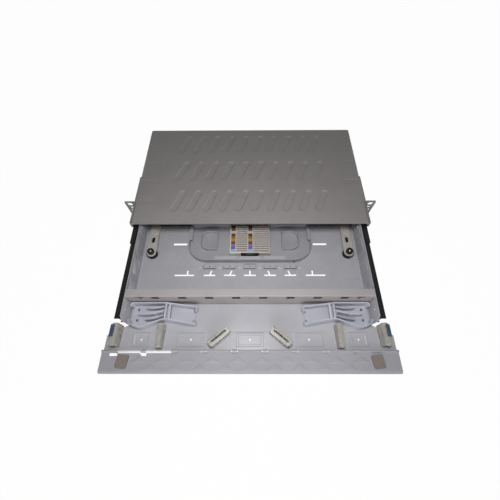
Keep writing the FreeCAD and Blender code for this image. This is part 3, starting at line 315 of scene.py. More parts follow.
@dataclass(frozen=True)
class Finish:
    """A surface finish: mottled colour, uneven gloss and fine relief.

    Attributes:
        slot: Material slot of the record; not used.
        colour: Lighter colour of the mottle.
        shade: Darker colour of the mottle.
        unevenness: Most by which the roughness departs from its middle.
        mottle: Features of the mottle per metre.
        grain: Features of the relief per metre.
        stretch: Share of both along each axis.
    """

    name: str
    slot: str
    colour: Colour
    shade: Colour
    roughness: float
    unevenness: float = 0.06
    metallic: float = 0.0
    specular: float = 0.5
    transmission: float = 0.0
    subsurface: float = 0.0
    mottle: float = 28.0
    grain: float = 1400.0
    grain_depth: float = 0.02 * MM
    stretch: Place = (1.0, 1.0, 1.0)

    @cache
    def material(self) -> bpy.types.Material:
        """Make the finish's material, once.

        Returns:
            The material.
        """
        surface = Surface(self.name)
        surface.set_inputs(surface.shader, {
            "Metallic": self.metallic, "Specular IOR Level": self.specular,
            "Transmission Weight": self.transmission, "Subsurface Weight": self.subsurface,
            "Subsurface Scale": SUBSURFACE_DEPTH})
        mottle = surface.noise(self.mottle, MOTTLE_DETAIL, self.stretch)
        surface.paint(mottle, [(MOTTLE_LOW, self.shade), (MOTTLE_HIGH, self.colour)])
        surface.gloss(mottle, self.roughness - self.unevenness, self.roughness + self.unevenness)
        surface.relief(surface.noise(self.grain, GRAIN_DETAIL, self.stretch), self.grain_depth)
        return surface.owner


@dataclass(frozen=True)
class ColourBands:
    """Printed bands of colour along Y between two places."""

    name: str
    slot: str
    front: float
    rear: float
    bands: tuple[Colour, ...]
    smoothest: float = 0.38
    roughest: float = 0.55
    wear: float = 600.0
    wear_detail: float = 3.0
    wear_depth: float = 0.01 * MM

    @cache
    def material(self) -> bpy.types.Material:
        """Make the banded material, once.

        Returns:
            The material.
        """
        surface = Surface(self.name)
        split = surface.nodes.new("ShaderNodeSeparateXYZ")
        surface.link(surface.coords, split.inputs["Vector"])
        place = surface.map_range(split.outputs["Y"], {"From Min": self.front, "From Max": self.rear})
        stops = [(index / len(self.bands), colour) for index, colour in enumerate(self.bands)]
        surface.paint(place, stops, Blending.STEPPED)
        wear = surface.noise(self.wear, self.wear_detail)
        surface.gloss(wear, self.smoothest, self.roughest)
        surface.relief(wear, self.wear_depth)
        return surface.owner


Dressing = Finish | ColourBands

# Cover paint: darker than the drawer's paint, partly its own tone and partly painted shade for the
# dimmer light on the cover's top.
COVER_PAINT_SHADED = Finish(
    "cover_paint_satin", "cover_paint", (0.318, 0.300, 0.298), (0.297, 0.279, 0.277), 0.42,
    specular=0.14, grain_depth=0.035 * MM)
DRAWER_PAINT = Finish(
    "drawer_paint_semi_gloss", "drawer_paint", (0.439, 0.436, 0.468), (0.410, 0.408, 0.436), 0.27,
    unevenness=0.02, specular=0.20)
# Flap paint: the drawer's paint set darker, partly the flap's own tone and partly painted shade against
# the strong lamp light on the flap.
FLAP_PAINT_SHADED = Finish(
    "flap_paint_satin", "drawer_paint", (0.392, 0.390, 0.420), (0.368, 0.366, 0.394), 0.66,
    specular=0.08)
PLATE_PAINT = Finish(
    "plate_paint_semi_gloss", "drawer_paint", (0.403, 0.378, 0.380), (0.378, 0.354, 0.356), 0.44,
    specular=0.2)
RAIL_BLACK = Finish(
    "rail_black_coat", "rail_black", (0.010, 0.010, 0.011), (0.006, 0.006, 0.007), 0.48,
    specular=0.12, grain=900.0)
ZINC = Finish(
    "screw_zinc", "steel", (0.62, 0.62, 0.60), (0.52, 0.52, 0.50), 0.32, metallic=1.0, mottle=350.0)
BLACK_OXIDE = Finish(
    "screw_black_oxide", "steel", (0.20, 0.20, 0.21), (0.15, 0.15, 0.16), 0.4, metallic=0.6,
    mottle=350.0)
# Hinge rod: bright steel, whose near-white colour with little metal is partly a painted highlight.
ROD_STEEL_PAINTED_SHEEN = Finish(
    "rod_bright_steel", "rod_chrome", (0.86, 0.86, 0.88), (0.80, 0.80, 0.82), 0.30,
    unevenness=0.04, metallic=0.3, stretch=(0.05, 1.0, 1.0))
TRAY_PLASTIC = Finish(
    "tray_grey_moulding", "tray_grey", (0.370, 0.367, 0.389), (0.347, 0.344, 0.365), 0.42,
    specular=0.15, subsurface=0.05)
BAR_PLASTIC = Finish(
    "tray_bar_moulding", "tray_grey", (0.450, 0.440, 0.470), (0.420, 0.411, 0.440), 0.40,
    specular=0.15, subsurface=0.05)
COMB_PLASTIC = Finish(
    "comb_cream_moulding", "comb_cream", (0.57, 0.535, 0.510), (0.53, 0.495, 0.470), 0.48,
    subsurface=0.5)
BLACK_PLASTIC = Finish(
    "knob_black_moulding", "black_plastic", (0.012, 0.012, 0.012), (0.007, 0.007, 0.007), 0.36,
    specular=0.2, grain=1800.0)
GUIDE_PLASTIC = Finish(
    "guide_blue_grey_moulding", "guide_grey", (0.51, 0.515, 0.58), (0.475, 0.48, 0.54), 0.40,
    specular=0.2, subsurface=0.06)
CLIP_PLASTIC = Finish(
    "clip_smoky_moulding", "clip_taupe", (0.62, 0.60, 0.55), (0.57, 0.55, 0.50), 0.30,
    transmission=0.5, subsurface=0.1, mottle=60.0, grain_depth=0.005 * MM)
CAP_PLASTIC = Finish(
    "cap_blue_moulding", "cap_blue", (0.022, 0.060, 0.120), (0.012, 0.030, 0.062), 0.28, mottle=90.0)
ANCHOR_PLATE = Finish(
    "anchor_tan_plating", "anchor_tan", (0.50, 0.465, 0.43), (0.44, 0.405, 0.37), 0.40, mottle=60.0)
PLUG_RUBBER = Finish(
    "plug_black_rubber", "plug_rubber", (0.018, 0.018, 0.018), (0.010, 0.010, 0.010), 0.62,
    grain=1200.0)
PAD_FOAM = Finish(
    "pad_taupe_foam", "pad_foam", (0.235, 0.195, 0.180), (0.195, 0.160, 0.148), 0.75, mottle=260.0,
    grain=1500.0, grain_depth=0.12 * MM)

FIBRE_COLOURS: tuple[Colour, ...] = (
    (0.30, 0.42, 0.52), (0.10, 0.12, 0.36), (0.24, 0.13, 0.26), (0.17, 0.03, 0.05),
    (0.38, 0.26, 0.05), (0.20, 0.15, 0.02), (0.19, 0.02, 0.03), (0.62, 0.45, 0.44),
    (0.05, 0.13, 0.05), (0.18, 0.02, 0.02),
)


def new_object(name: str, shape: bmesh.types.BMesh) -> bpy.types.Object:
    """Put a shape into the scene.

    Args:
        name: Name of the object and its mesh.
        shape: The shape, which is freed.

    Returns:
        The new object.
    """
    mesh = bpy.data.meshes.new(name)
    shape.to_mesh(mesh)
    shape.free()
    made = bpy.data.objects.new(name, mesh)
    bpy.context.scene.collection.objects.link(made)
    return made


def add_block(shape: bmesh.types.BMesh, middle: Place, size: Place, turn: float = 0.0) -> None:
    """Add a block to a shape.

    Args:
        shape: The shape, which is changed.
        middle: Middle of the block.
        size: Its sides.
        turn: Angle about the upright axis through its middle.
    """
    place = Matrix.Translation(middle) @ Matrix.Rotation(turn, 4, "Z")
    bmesh.ops.create_cube(shape, size=1.0, matrix=place @ Matrix.Diagonal((*size, 1.0)))


def merged_copy(node: bpy.types.Object) -> bmesh.types.BMesh:
    """Copy a solid's loose triangles as closed meshes.

    Args:
        node: The solid.

    Returns:
        The copy.
    """
    shape = bmesh.new()
    shape.from_mesh(node.data)
    bmesh.ops.remove_doubles(shape, verts=shape.verts, dist=MERGE_REACH)
    return shape


def flat_copy(node: bpy.types.Object) -> bmesh.types.BMesh:
    """Copy a solid with the triangles of its flat faces joined.

    Args:
        node: The solid.

    Returns:
        The copy.
    """
    shape = merged_copy(node)
    bmesh.ops.dissolve_limit(shape, angle_limit=FLAT_ANGLE, verts=shape.verts, edges=shape.edges)
    shape.verts.index_update()
    return shape


def level_faces(shape: bmesh.types.BMesh, level: float) -> list[bmesh.types.BMFace]:
    """Find the faces that lie at a height and look up.

    Args:
        shape: The shape.
        level: The height.

    Returns:
        The faces.
    """
    return [face for face in shape.faces if face.normal.z > LEVEL_NORMAL
            and all(abs(vert.co.z - level) < LEVEL_REACH for vert in face.verts)]


def group_boxes(items: Iterable, neighbours: Callable, places: Callable) -> list[Box]:
    """Find the boxes of the groups of elements that hang together.

    Args:
        items: Corners or faces of a shape.
        neighbours: Gives the elements next to one.
        places: Gives the places of an element's corners.

    Returns:
        Lowest and highest corner of each group, from the left.
    """
    left = set(items)
    boxes = []
    while left:
        stack = [left.pop()]
        corners = []
        while stack:
            item = stack.pop()
            corners += places(item)
            found = left.intersection(neighbours(item))
            left -= found
            stack.extend(found)
        boxes.append(tuple(Vector(map(pick, zip(*corners))) for pick in (min, max)))
    return sorted(boxes, key=lambda box: tuple(box[0]))


def islands(node: bpy.types.Object) -> list[Box]:
    """Find the separate solids of a node.

    Args:
        node: The solid group.

    Returns:
        Lowest and highest corner of each solid, from the left.
    """
    shape = merged_copy(node)
    boxes = group_boxes(shape.verts, lambda vert: [edge.other_vert(vert) for edge in vert.link_edges],
                        lambda vert: [tuple(vert.co)])
    shape.free()
    return boxes


@dataclass(frozen=True)
class Pressing:
    """Areas pressed up from a sheet, whose upright sides are given a slope."""

    base: float
    rise: float
    slope: float

    def apply(self, shape: bmesh.types.BMesh) -> None:
        """Slope the sides of every pressed area of a copy.

        Args:
            shape: The copy, which is changed.
        """
        areas = level_faces(shape, self.base + self.rise)
        rims = {vert.co.copy().freeze() for face in areas for vert in face.verts
                for edge in vert.link_edges
                if abs(edge.other_vert(vert).co.z - self.base) < LEVEL_REACH}
        bmesh.ops.inset_region(shape, faces=areas, thickness=self.slope, use_boundary=True,
                               use_even_offset=True)
        for vert in shape.verts:
            if any((vert.co - rim).length < LEVEL_REACH for rim in rims):
                vert.co.z = self.base
        bmesh.ops.remove_doubles(shape, verts=shape.verts, dist=LEVEL_REACH)
        shape.verts.index_update()
        LOG.info("%d pressed areas, %d corners lowered", len(areas), len(rims))


def is_stray(face: bmesh.types.BMFace, surface: BVHTree, width: float) -> bool:
    """Tell whether a face of a rounded copy has left the solid's surface.

    Args:
        face: Triangle of the copy.
        surface: The solid's surface.
        width: Reach of the rounding.

    Returns:
        Whether the face lies off the surface or faces the wrong way.
    """
    _, normal, _, distance = surface.find_nearest(face.calc_center_median())
    turned = face.calc_area() > width * width and normal.dot(face.normal) < STRAY_TURN
    return turned or distance > STRAY_OFFSET * width


def round_edges(shape: bmesh.types.BMesh, width: float, segments: int, skipped: set[int]) -> set[int]:
    """Round the sharp edges of a copy and find the corners where that tears it.

    Args:
        shape: The copy, which is changed.
        width: Reach of the rounding.
        segments: Facets across a rounded edge.
        skipped: Corners whose edges stay sharp.

    Returns:
        Corners near the faces that have left the surface.
    """
    surface = BVHTree.FromBMesh(shape)
    corners = KDTree(len(shape.verts))
    for vert in shape.verts:
        corners.insert(vert.co, vert.index)
    corners.balance()
    sharp = [edge for edge in shape.edges
             if edge.is_manifold and edge.calc_face_angle() > SHARP_ANGLE
             and edge.calc_length() > SHORTEST_EDGE * width
             and not any(vert.index in skipped for vert in edge.verts)]
    bmesh.ops.bevel(shape, geom=sharp, offset=width, offset_type="OFFSET", affect="EDGES",
                    segments=segments, profile=0.5, material=-1, clamp_overlap=False)
    bmesh.ops.triangulate(shape, faces=shape.faces, quad_method="BEAUTY", ngon_method="EAR_CLIP")
    return {index for face in shape.faces if is_stray(face, surface, width) for vert in face.verts
            for _, index, _ in corners.find_range(vert.co, STRAY_REACH * width)}


@dataclass
class SubAssembly(ABC):
    """Pieces that belong together, on the loaded frame."""

    frame: dict

    @abstractmethod
    def build(self) -> list[bpy.types.Object]:
        """Build and dress the pieces, and return them."""

    def add(self, name: str, shape: bmesh.types.BMesh, finish: Dressing, carrier: str,
            crease: float = CREASE_ANGLE) -> bpy.types.Object:
        """Turn a finished shape into a piece that rides with a solid.

        Args:
            name: Name of the piece.
            shape: The shape, which is freed.
            finish: Its finish.
            carrier: Solid on whose body it rides.
            crease: Angle from which an edge is shaded sharp.

        Returns:
            The new piece.
        """
        piece = new_object(name, shape)
        piece.data.materials.append(finish.material())
        piece.data.shade_smooth()
        piece.data.set_sharp_from_angle(angle=crease)
        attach(piece, self.frame["nodes"][carrier]["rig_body"])
        return piece

    def soften(self, node: str, width: float, finish: Dressing, segments: int = EDGE_FACETS,
               pressing: Pressing | None = None, crease: float = CREASE_ANGLE) -> bpy.types.Object:
        """Stand a copy with rounded edges in for a solid.

        Args:
            node: Name of the solid.
            width: Reach of the rounding.
            finish: Finish of the copy.
            segments: Facets across a rounded edge.
            pressing: Pressed areas whose sides are sloped first.
            crease: Angle from which an edge is shaded sharp.

        Returns:
            The new piece.
        """
        skipped: set[int] = set()
        while True:
            shape = flat_copy(self.frame["nodes"][node])
            if pressing:
                pressing.apply(shape)
            torn = round_edges(shape, width, segments, skipped)
            if torn <= skipped:
                break
            skipped |= torn
            shape.free()
        LOG.info("%s: %d corners left sharp", node, len(skipped))
        piece = self.add(node + "_rounded", shape, finish, node, crease)
        piece.modifiers.new("even_shading", "WEIGHTED_NORMAL").keep_sharp = True
        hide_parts(node)
        return piece


@dataclass
class Chassis(SubAssembly):
    """Fixed part: cover, base with its apron, ears and plugs."""

    cover_edge: float = 0.35 * MM
    ear_edge: float = 0.4 * MM
    plug_edge: float = 0.5 * MM
    wing_inner: float = 203.0 * MM
    wing_outer: float = 214.0 * MM
    wing_depth: float = 46.0 * MM
    wing_sheet: float = 1.0 * MM
    wing_lift: float = 0.1 * MM

    def build(self) -> list[bpy.types.Object]:
        """Dress the chassis.

        Returns:
            Its pieces.
        """
        return [
            self.soften("top_cover", self.cover_edge, COVER_PAINT_SHADED, crease=PRESSED_CREASE),
            self.soften("base_shell", self.cover_edge, COVER_PAINT_SHADED),
            self.apron_wings(),
            *(self.soften(side.of("rack_ear"), self.ear_edge, COVER_PAINT_SHADED) for side in Side),
            self.soften("entry_plugs", self.plug_edge, PLUG_RUBBER),
        ]

    def apron_wings(self) -> bpy.types.Object:
        """Close the corners beside the apron in front of the base's floor.

        Returns:
            The new piece.
        """
        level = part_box("base_shell")[0].z + self.wing_lift + self.wing_sheet / 2
        middle = (self.wing_inner + self.wing_outer) / 2
        size = (self.wing_outer - self.wing_inner, self.wing_depth, self.wing_sheet)
        shape = bmesh.new()
        for side in Side:
            add_block(shape, (side.value * middle, -self.wing_depth / 2, level), size)
        return self.add("apron_wings", shape, COVER_PAINT_SHADED, "base_shell")


@dataclass
class Slides(SubAssembly):
    """Telescopic slides: outer, middle and inner rail on each side."""

    rail_edge: float = 0.2 * MM

    def build(self) -> list[bpy.types.Object]:
        """Dress the rails and return them."""
        return [self.soften(side.of(kind), self.rail_edge, RAIL_BLACK)
                for side in Side for kind in ("fixed_rail", "middle_rail", "drawer_rail")]


@dataclass
class Drawer(SubAssembly):
    """Folded drawer with the raised pads of its front floor, and the adapter plate."""

    sheet_edge: float = 0.3 * MM
    floor_sheet: float = 1.2 * MM
    pad_rise: float = 0.5 * MM
    frame_lift: float = 0.02 * MM
    frame_margin: float = 0.2 * MM
    frame_rise: float = 1.1 * MM
    frame_slope: float = 1.6 * MM
    frame_top: float = 3.5 * MM

    def build(self) -> list[bpy.types.Object]:
        """Dress the drawer and its plate.

        Returns:
            The pieces.
        """
        return [
            self.soften("drawer_tray", self.sheet_edge, DRAWER_PAINT),
            self.pad_frames(),
            self.soften("adapter_plate", self.sheet_edge, PLATE_PAINT),
        ]

    def pads(self, floor: float) -> list[Box]:
        """Find the raised pads of the front floor.

        Args:
            floor: Height of the floor.

        Returns:
            Lowest and highest corner of each pad, from the left.
        """
        solid = flat_copy(self.frame["nodes"]["drawer_tray"])
        boxes = group_boxes(level_faces(solid, floor + self.pad_rise),
                            lambda face: [near for edge in face.edges for near in edge.link_faces],
                            lambda face: [tuple(vert.co) for vert in face.verts])
        solid.free()
        return boxes

    def pad_frames(self) -> bpy.types.Object:
        """Raise a frame with sloped sides on the rim of each pad.

        Returns:
            The new piece.
        """
        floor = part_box("drawer_tray")[0].z + self.floor_sheet
        steps = ((self.frame_slope, self.frame_rise), (self.frame_top, 0.0),
                 (self.frame_slope, self.pad_rise - self.frame_rise))
        shape = bmesh.new()
        for low, high in self.pads(floor):
            middle = (low + high) / 2
            size = high - low + 2 * Vector((self.frame_margin, self.frame_margin, 0.0))
            place = Matrix.Translation((middle.x, middle.y, floor + self.frame_lift))
            made = bmesh.ops.create_grid(shape, x_segments=1, y_segments=1, size=0.5,
                                         matrix=place @ Matrix.Diagonal((size.x, size.y, 1.0, 1.0)))
            face = made["verts"][0].link_faces[0]
            for reach, rise in steps:
                bmesh.ops.inset_region(shape, faces=[face], thickness=reach, use_boundary=True)
                bmesh.ops.translate(shape, vec=(0, 0, rise), verts=face.verts)
            bmesh.ops.delete(shape, geom=[face], context="FACES_ONLY")
        return self.add("floor_pad_frames", shape, DRAWER_PAINT, "drawer_tray", PRESSED_CREASE)


@dataclass
class Hinge(SubAssembly):
    """Hinge of the flap: rod, knuckles, their feet and the webs that close the flap's notches."""

    edge: float = 0.3 * MM
    open_notches: int = 1
    notch_gap: float = 0.98 * MM
    foot_depth: float = 4.6 * MM
    foot_sheet: float = 0.6 * MM
    web_gap: float = 0.5 * MM
    web_drop: float = 0.05 * MM
    web_depth: float = 2.1 * MM
    web_sheet: float = 1.0 * MM

    def build(self) -> list[bpy.types.Object]:
        """Dress the hinge.

        Returns:
            Its pieces.
        """
        return [
            self.soften("hinge_rod", self.edge, ROD_STEEL_PAINTED_SHEEN),
            self.soften("hinge_knuckles", self.edge, DRAWER_PAINT),
            self.feet(),
            self.webs(),
        ]

    def closed_notches(self) -> list[tuple[float, float, float]]:
        """Find the notches that are closed, which are all but the open ones at the left.

        Returns:
            Middle and width of each notch, and the front of its knuckle.
        """
        knuckles = islands(self.frame["nodes"]["hinge_knuckles"])[self.open_notches:]
        return [((low.x + high.x) / 2, high.x - low.x + 2 * self.notch_gap, low.y)
                for low, high in knuckles]

    def feet(self) -> bpy.types.Object:
        """Carry the drawer's floor forward under the knuckles of the closed notches.

        Returns:
            The new piece.
        """
        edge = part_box("drawer_tray")[0]
        shape = bmesh.new()
        for middle, width, _ in self.closed_notches():
            place = (middle, edge.y - self.foot_depth / 2, edge.z + self.foot_sheet / 2)
            add_block(shape, place, (width, self.foot_depth, self.foot_sheet))
        return self.add("knuckle_feet", shape, DRAWER_PAINT, "drawer_tray")

    def webs(self) -> bpy.types.Object:
        """Close the flap's notches in front of the knuckles.

        Returns:
            The new piece.
        """
        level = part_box("flap_pad_left")[0].z - self.web_drop - self.web_sheet / 2
        shape = bmesh.new()
        for middle, width, front in self.closed_notches():
            place = (middle, front - self.web_gap - self.web_depth / 2, level)
            add_block(shape, place, (width, self.web_depth, self.web_sheet))
        return self.add("flap_notch_webs", shape, FLAP_PAINT_SHADED, "front_flap")


@dataclass
class FrontFlap(SubAssembly):
    """Folded flap with pressed triangles and two foam pads."""

    flap_edge: float = 0.5 * MM
    pad_edge: float = 0.6 * MM
    triangle_rise: float = 0.8 * MM
    triangle_slope: float = 1.5 * MM

    def build(self) -> list[bpy.types.Object]:
        """Dress the flap and its pads.

        Returns:
            The pieces.
        """
        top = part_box("flap_pad_left")[0].z
        return [
            self.soften("front_flap", self.flap_edge, FLAP_PAINT_SHADED, crease=PRESSED_CREASE,
                        pressing=Pressing(top, self.triangle_rise, self.triangle_slope)),
            *(self.soften(side.of("flap_pad"), self.pad_edge, PAD_FOAM, SOFT_FACETS) for side in Side),
        ]


@dataclass
class SpliceDeck(SubAssembly):
    """Splice tray with its front bar, comb, colour strips and clip."""

    tray_edge: float = 0.35 * MM
    comb_edge: float = 0.25 * MM
    strip_edge: float = 0.1 * MM
    bar_width: float = 132.0 * MM
    bar_sheet: float = 1.2 * MM
    bar_rise: float = 0.4 * MM
    bar_inset: float = 5.3 * MM
    bar_gap: float = 2.2 * MM
    window_place: float = 22.7 * MM
    window_width: float = 7.0 * MM
    window_depth: float = 5.0 * MM

    def build(self) -> list[bpy.types.Object]:
        """Dress the splice tray and what it carries.

        Returns:
            The pieces.
        """
        low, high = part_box("colour_strips")
        bands = ColourBands("strip_fibre_colours", "strip_colour", low.y, high.y, FIBRE_COLOURS)
        return [
            self.front_bar(),
            self.soften("splice_tray", self.tray_edge, TRAY_PLASTIC),
            self.soften("splice_comb", self.comb_edge, COMB_PLASTIC),
            self.soften("comb_clip", self.tray_edge, BLACK_PLASTIC),
            self.soften("colour_strips", self.strip_edge, bands),
        ]

    def front_bar(self) -> bpy.types.Object:
        """Lay the retaining bar with its two windows across the tray's front.

        Returns:
            The new piece.
        """
        low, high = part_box("splice_tray")
        level = high.z + self.bar_rise - self.bar_sheet / 2
        near = low.y + self.bar_inset
        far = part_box("comb_clip")[0].y - self.bar_gap
        front = (near + far - self.window_depth) / 2
        rear = (near + far + self.window_depth) / 2
        half = self.bar_width / 2
        inner = self.window_place - self.window_width / 2
        outer = self.window_place + self.window_width / 2
        strips = ((-half, half, near, front), (-half, half, rear, far), (-half, -outer, front, rear),
                  (-inner, inner, front, rear), (outer, half, front, rear))
        shape = bmesh.new()
        for left, right, start, end in strips:
            add_block(shape, ((left + right) / 2, (start + end) / 2, level),
                      (right - left, end - start, self.bar_sheet))
        return self.add("tray_front_bar", shape, BAR_PLASTIC, "splice_tray")


@dataclass
class CordGuides(SubAssembly):
    """Fan-out guides, cord clips and corner loops on the front floor."""

    guide_edge: float = 0.6 * MM
    clip_edge: float = 0.8 * MM
    cap_edge: float = 0.4 * MM

    def build(self) -> list[bpy.types.Object]:
        """Dress the guides, clips, loops and caps.

        Returns:
            The pieces.
        """
        pieces = []
        for side in Side:
            pieces.append(self.soften(side.of("fan_guide"), self.guide_edge, GUIDE_PLASTIC, SOFT_FACETS))
            for kind in ("inner_clip", "outer_clip", "corner_loop"):
                pieces.append(self.soften(side.of(kind), self.clip_edge, CLIP_PLASTIC, SOFT_FACETS))
            pieces.append(self.soften(side.of("loop_cap"), self.cap_edge, CAP_PLASTIC))
        return pieces


@dataclass
class Anchors(SubAssembly):
    """Raised strips at the drawer's rear with their spacers, studs and knurled knobs, and black blocks
    of painted shade under their slots.
    """

    edge: float = 0.3 * MM
    shade_block_line: float = 35.0 * MM
    shade_block_width: float = 5.2 * MM
    shade_block_length: float = 12.0 * MM
    shade_block_height: float = 7.0 * MM
    shade_block_rounding: float = 2.34 * MM
    shade_block_facets: int = 5
    knurls: int = 30
    knurl_depth: float = 0.22 * MM
    knurl_margin: float = 0.12 * MM
    knurl_reach: float = 0.01 * MM
    knob_bore: float = 2.05 * MM
    knob_rounding: float = 0.9 * MM
    recess_radius: float = 3.4 * MM
    recess_depth: float = 1.5 * MM

    def build(self) -> list[bpy.types.Object]:
        """Dress the strips and model the knobs.

        Returns:
            The pieces.
        """
        return [
            self.soften("strip_spacers", self.edge, BLACK_PLASTIC),
            # black blocks under the strips' slots are painted shade
            self.slot_shade_blocks(),
            self.soften("clamp_studs", self.edge, ZINC),
            *(self.soften(side.of("anchor_strip"), self.edge, ANCHOR_PLATE) for side in Side),
            *(self.knob(side) for side in Side),
        ]

    def slot_shade_blocks(self) -> bpy.types.Object:
        """Stand a black block under the slot of each strip, as painted shade that darkens the slot.

        Returns:
            The new piece.
        """
        shape = bmesh.new()
        for side in Side:
            low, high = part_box(side.of("anchor_strip"))
            place = ((low.x + high.x) / 2, high.y - self.shade_block_line, low.z + self.shade_block_height / 2)
            add_block(shape, place, (self.shade_block_width, self.shade_block_length, self.shade_block_height))
        upright = [edge for edge in shape.edges
                   if abs(edge.verts[0].co.z - edge.verts[1].co.z) > self.shade_block_height / 2]
        bmesh.ops.bevel(shape, geom=upright, offset=self.shade_block_rounding, affect="EDGES",
                        segments=self.shade_block_facets, profile=0.5, material=-1)
        return self.add("strip_slot_bushes", shape, BLACK_PLASTIC, "strip_spacers")

    def knob(self, side: Side) -> bpy.types.Object:
        """Model a knurled knob in place of its plain solid.

        Args:
            side: Side of the panel.

        Returns:
            The new piece.
        """
        node = side.of("clamp_knob")
        low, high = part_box(node)
        middle = (low + high) / 2
        radius = (high.x - low.x) / 2 - self.knurl_depth
        shoulder = radius - self.knob_rounding
        floor = high.z - self.recess_depth
        profile = ((self.knob_bore, low.z), (shoulder, low.z), (radius, low.z + self.knob_rounding),
                   (radius, high.z - self.knob_rounding), (shoulder, high.z),
                   (self.recess_radius, high.z), (self.recess_radius, floor), (self.knob_bore, floor))
        shape = bmesh.new()
        verts = [shape.verts.new((reach, 0.0, level)) for reach, level in profile]
        edges = [shape.edges.new((verts[index - 1], verts[index])) for index in range(len(verts))]
        bmesh.ops.spin(shape, geom=verts + edges, cent=(0, 0, 0), axis=(0, 0, 1), angle=2 * math.pi,
                       steps=2 * self.knurls, use_merge=True)
        bmesh.ops.remove_doubles(shape, verts=shape.verts, dist=MERGE_REACH)
        bmesh.ops.recalc_face_normals(shape, faces=shape.faces)
        self.knurl(shape, radius)
        bmesh.ops.translate(shape, vec=(middle.x, middle.y, 0.0), verts=shape.verts)
        piece = self.add(side.of("knurled_knob"), shape, BLACK_PLASTIC, node)
        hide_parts(node)
        return piece

    def knurl(self, shape: bmesh.types.BMesh, radius: float) -> None:
        """Raise every second facet of a knob's rim.

        Args:
            shape: The knob about the upright axis, which is changed.
            radius: Radius of its rim.
        """
        rim = [face for face in shape.faces
               if all(abs(vert.co.xy.length - radius) < self.knurl_reach for vert in face.verts)]
        middles = {face: face.calc_center_median() for face in rim}
        rim.sort(key=lambda face: math.atan2(middles[face].y, middles[face].x))
        bmesh.ops.inset_individual(shape, faces=rim[::2], thickness=self.knurl_margin,
                                   depth=self.knurl_depth)


@dataclass
class Fasteners(SubAssembly):
    """Cross-recessed screws with a domed head, modelled once and set in many places."""

    radius: float = 2.2 * MM
    height: float = 1.4 * MM
    dome: float = 0.868 * MM
    dome_facets: int = 5
    head_facets: int = 36
    shank_radius: float = 1.2 * MM
    shank_facets: int = 20
    recess_length: float = 2.5 * MM
    recess_width: float = 0.55 * MM
    recess_depth: float = 0.85 * MM
    turn_step: float = 0.7
    round_play: float = 0.1 * MM

    def build(self) -> list[bpy.types.Object]:
        """Set every group of screws.

        Returns:
            One piece for each group.
        """
        head = self.head()
        return [
            self.set_in("cover_screws", head, ZINC),
            self.set_in("ear_screws", head, ZINC),
            self.set_in("rail_screws", head, ZINC, inward=True),
            self.set_in("adapter_screws", head, ZINC),
            self.set_in("guide_screws", head, BLACK_OXIDE),
        ]

    def head(self) -> bpy.types.Mesh:
        """Model the head about the origin, pointing up.

        Returns:
            A mesh with the cross cut into it.
        """
        shape = bmesh.new()
        bmesh.ops.create_cone(shape, cap_ends=True, segments=self.head_facets, radius1=self.radius,
                              radius2=self.radius, depth=self.height,
                              matrix=Matrix.Translation((0, 0, self.height / 2)))
        rim = [edge for edge in shape.edges
               if all(vert.co.z > self.height / 2 for vert in edge.verts)]
        bmesh.ops.bevel(shape, geom=rim, offset=self.dome, affect="EDGES",
                        segments=self.dome_facets, profile=0.5, material=-1)
        head = new_object("screw_head", shape)
        cutters = [self.cutter(turn) for turn in (0.0, math.pi / 2)]
        for cutter in cutters:
            cut = head.modifiers.new("recess", "BOOLEAN")
            cut.operation = "DIFFERENCE"
            cut.object = cutter
        bpy.context.view_layer.update()
        graph = bpy.context.evaluated_depsgraph_get()
        finished = bpy.data.meshes.new_from_object(head.evaluated_get(graph))
        for scrap in [head, *cutters]:
            bpy.data.objects.remove(scrap)
        return finished

    def cutter(self, turn: float) -> bpy.types.Object:
        """Model one bar of the cross as a cutter.

        Args:
            turn: Angle of the bar.

        Returns:
            The cutter, which the head's maker removes.
        """
        shape = bmesh.new()
        size = (self.recess_length, self.recess_width, 2 * self.recess_depth)
        add_block(shape, (0.0, 0.0, self.height), size, turn)
        return new_object("recess_cutter", shape)

    def set_in(self, node: str, head: bpy.types.Mesh, finish: Finish,
               inward: bool = False) -> bpy.types.Object:
        """Put a screw wherever a group has one.

        Args:
            node: Group of screws that the new piece stands for.
            head: The modelled head.
            finish: Finish of the screws.
            inward: Whether sideways heads point to the middle of the panel.

        Returns:
            The new piece.
        """
        shape = bmesh.new()
        for index, (low, high) in enumerate(islands(self.frame["nodes"][node])):
            axis, base, length = self.pose(low, high, inward)
            turn = Vector(Axis.UP.value).rotation_difference(Vector(axis.value)).to_matrix().to_4x4()
            spin = Matrix.Rotation(self.turn_step * index, 4, "Z")
            place = Matrix.Translation(base) @ turn @ spin
            placed = head.copy()
            placed.transform(place)
            shape.from_mesh(placed)
            bpy.data.meshes.remove(placed)
            bmesh.ops.create_cone(shape, cap_ends=True, segments=self.shank_facets,
                                  radius1=self.shank_radius, radius2=self.shank_radius, depth=length,
                                  matrix=place @ Matrix.Translation((0, 0, -length / 2)))
        piece = self.add(node + "_cross_head", shape, finish, node)
        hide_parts(node)
        return piece

    def pose(self, low: Vector, high: Vector, inward: bool) -> tuple[Axis, Vector, float]:
        """Find where a screw's head sits and which way it points.

        Args:
            low: Lowest corner of the solid.
            high: Highest corner of the solid.
            inward: Whether a sideways head points to the middle of the panel.

        Returns:
            Direction, underside of the head, and length of the shank.
        """
        middle = (low + high) / 2
        size = high - low
        if size.z < min(size.x, size.y) or abs(size.x - size.y) < self.round_play:
            return Axis.UP, Vector((middle.x, middle.y, high.z - self.height)), size.z - self.height
        length = size.x - self.height
        if (middle.x > 0) != inward:
            return Axis.RIGHT, Vector((high.x - self.height, middle.y, middle.z)), length
        return Axis.LEFT, Vector((low.x + self.height, middle.y, middle.z)), length


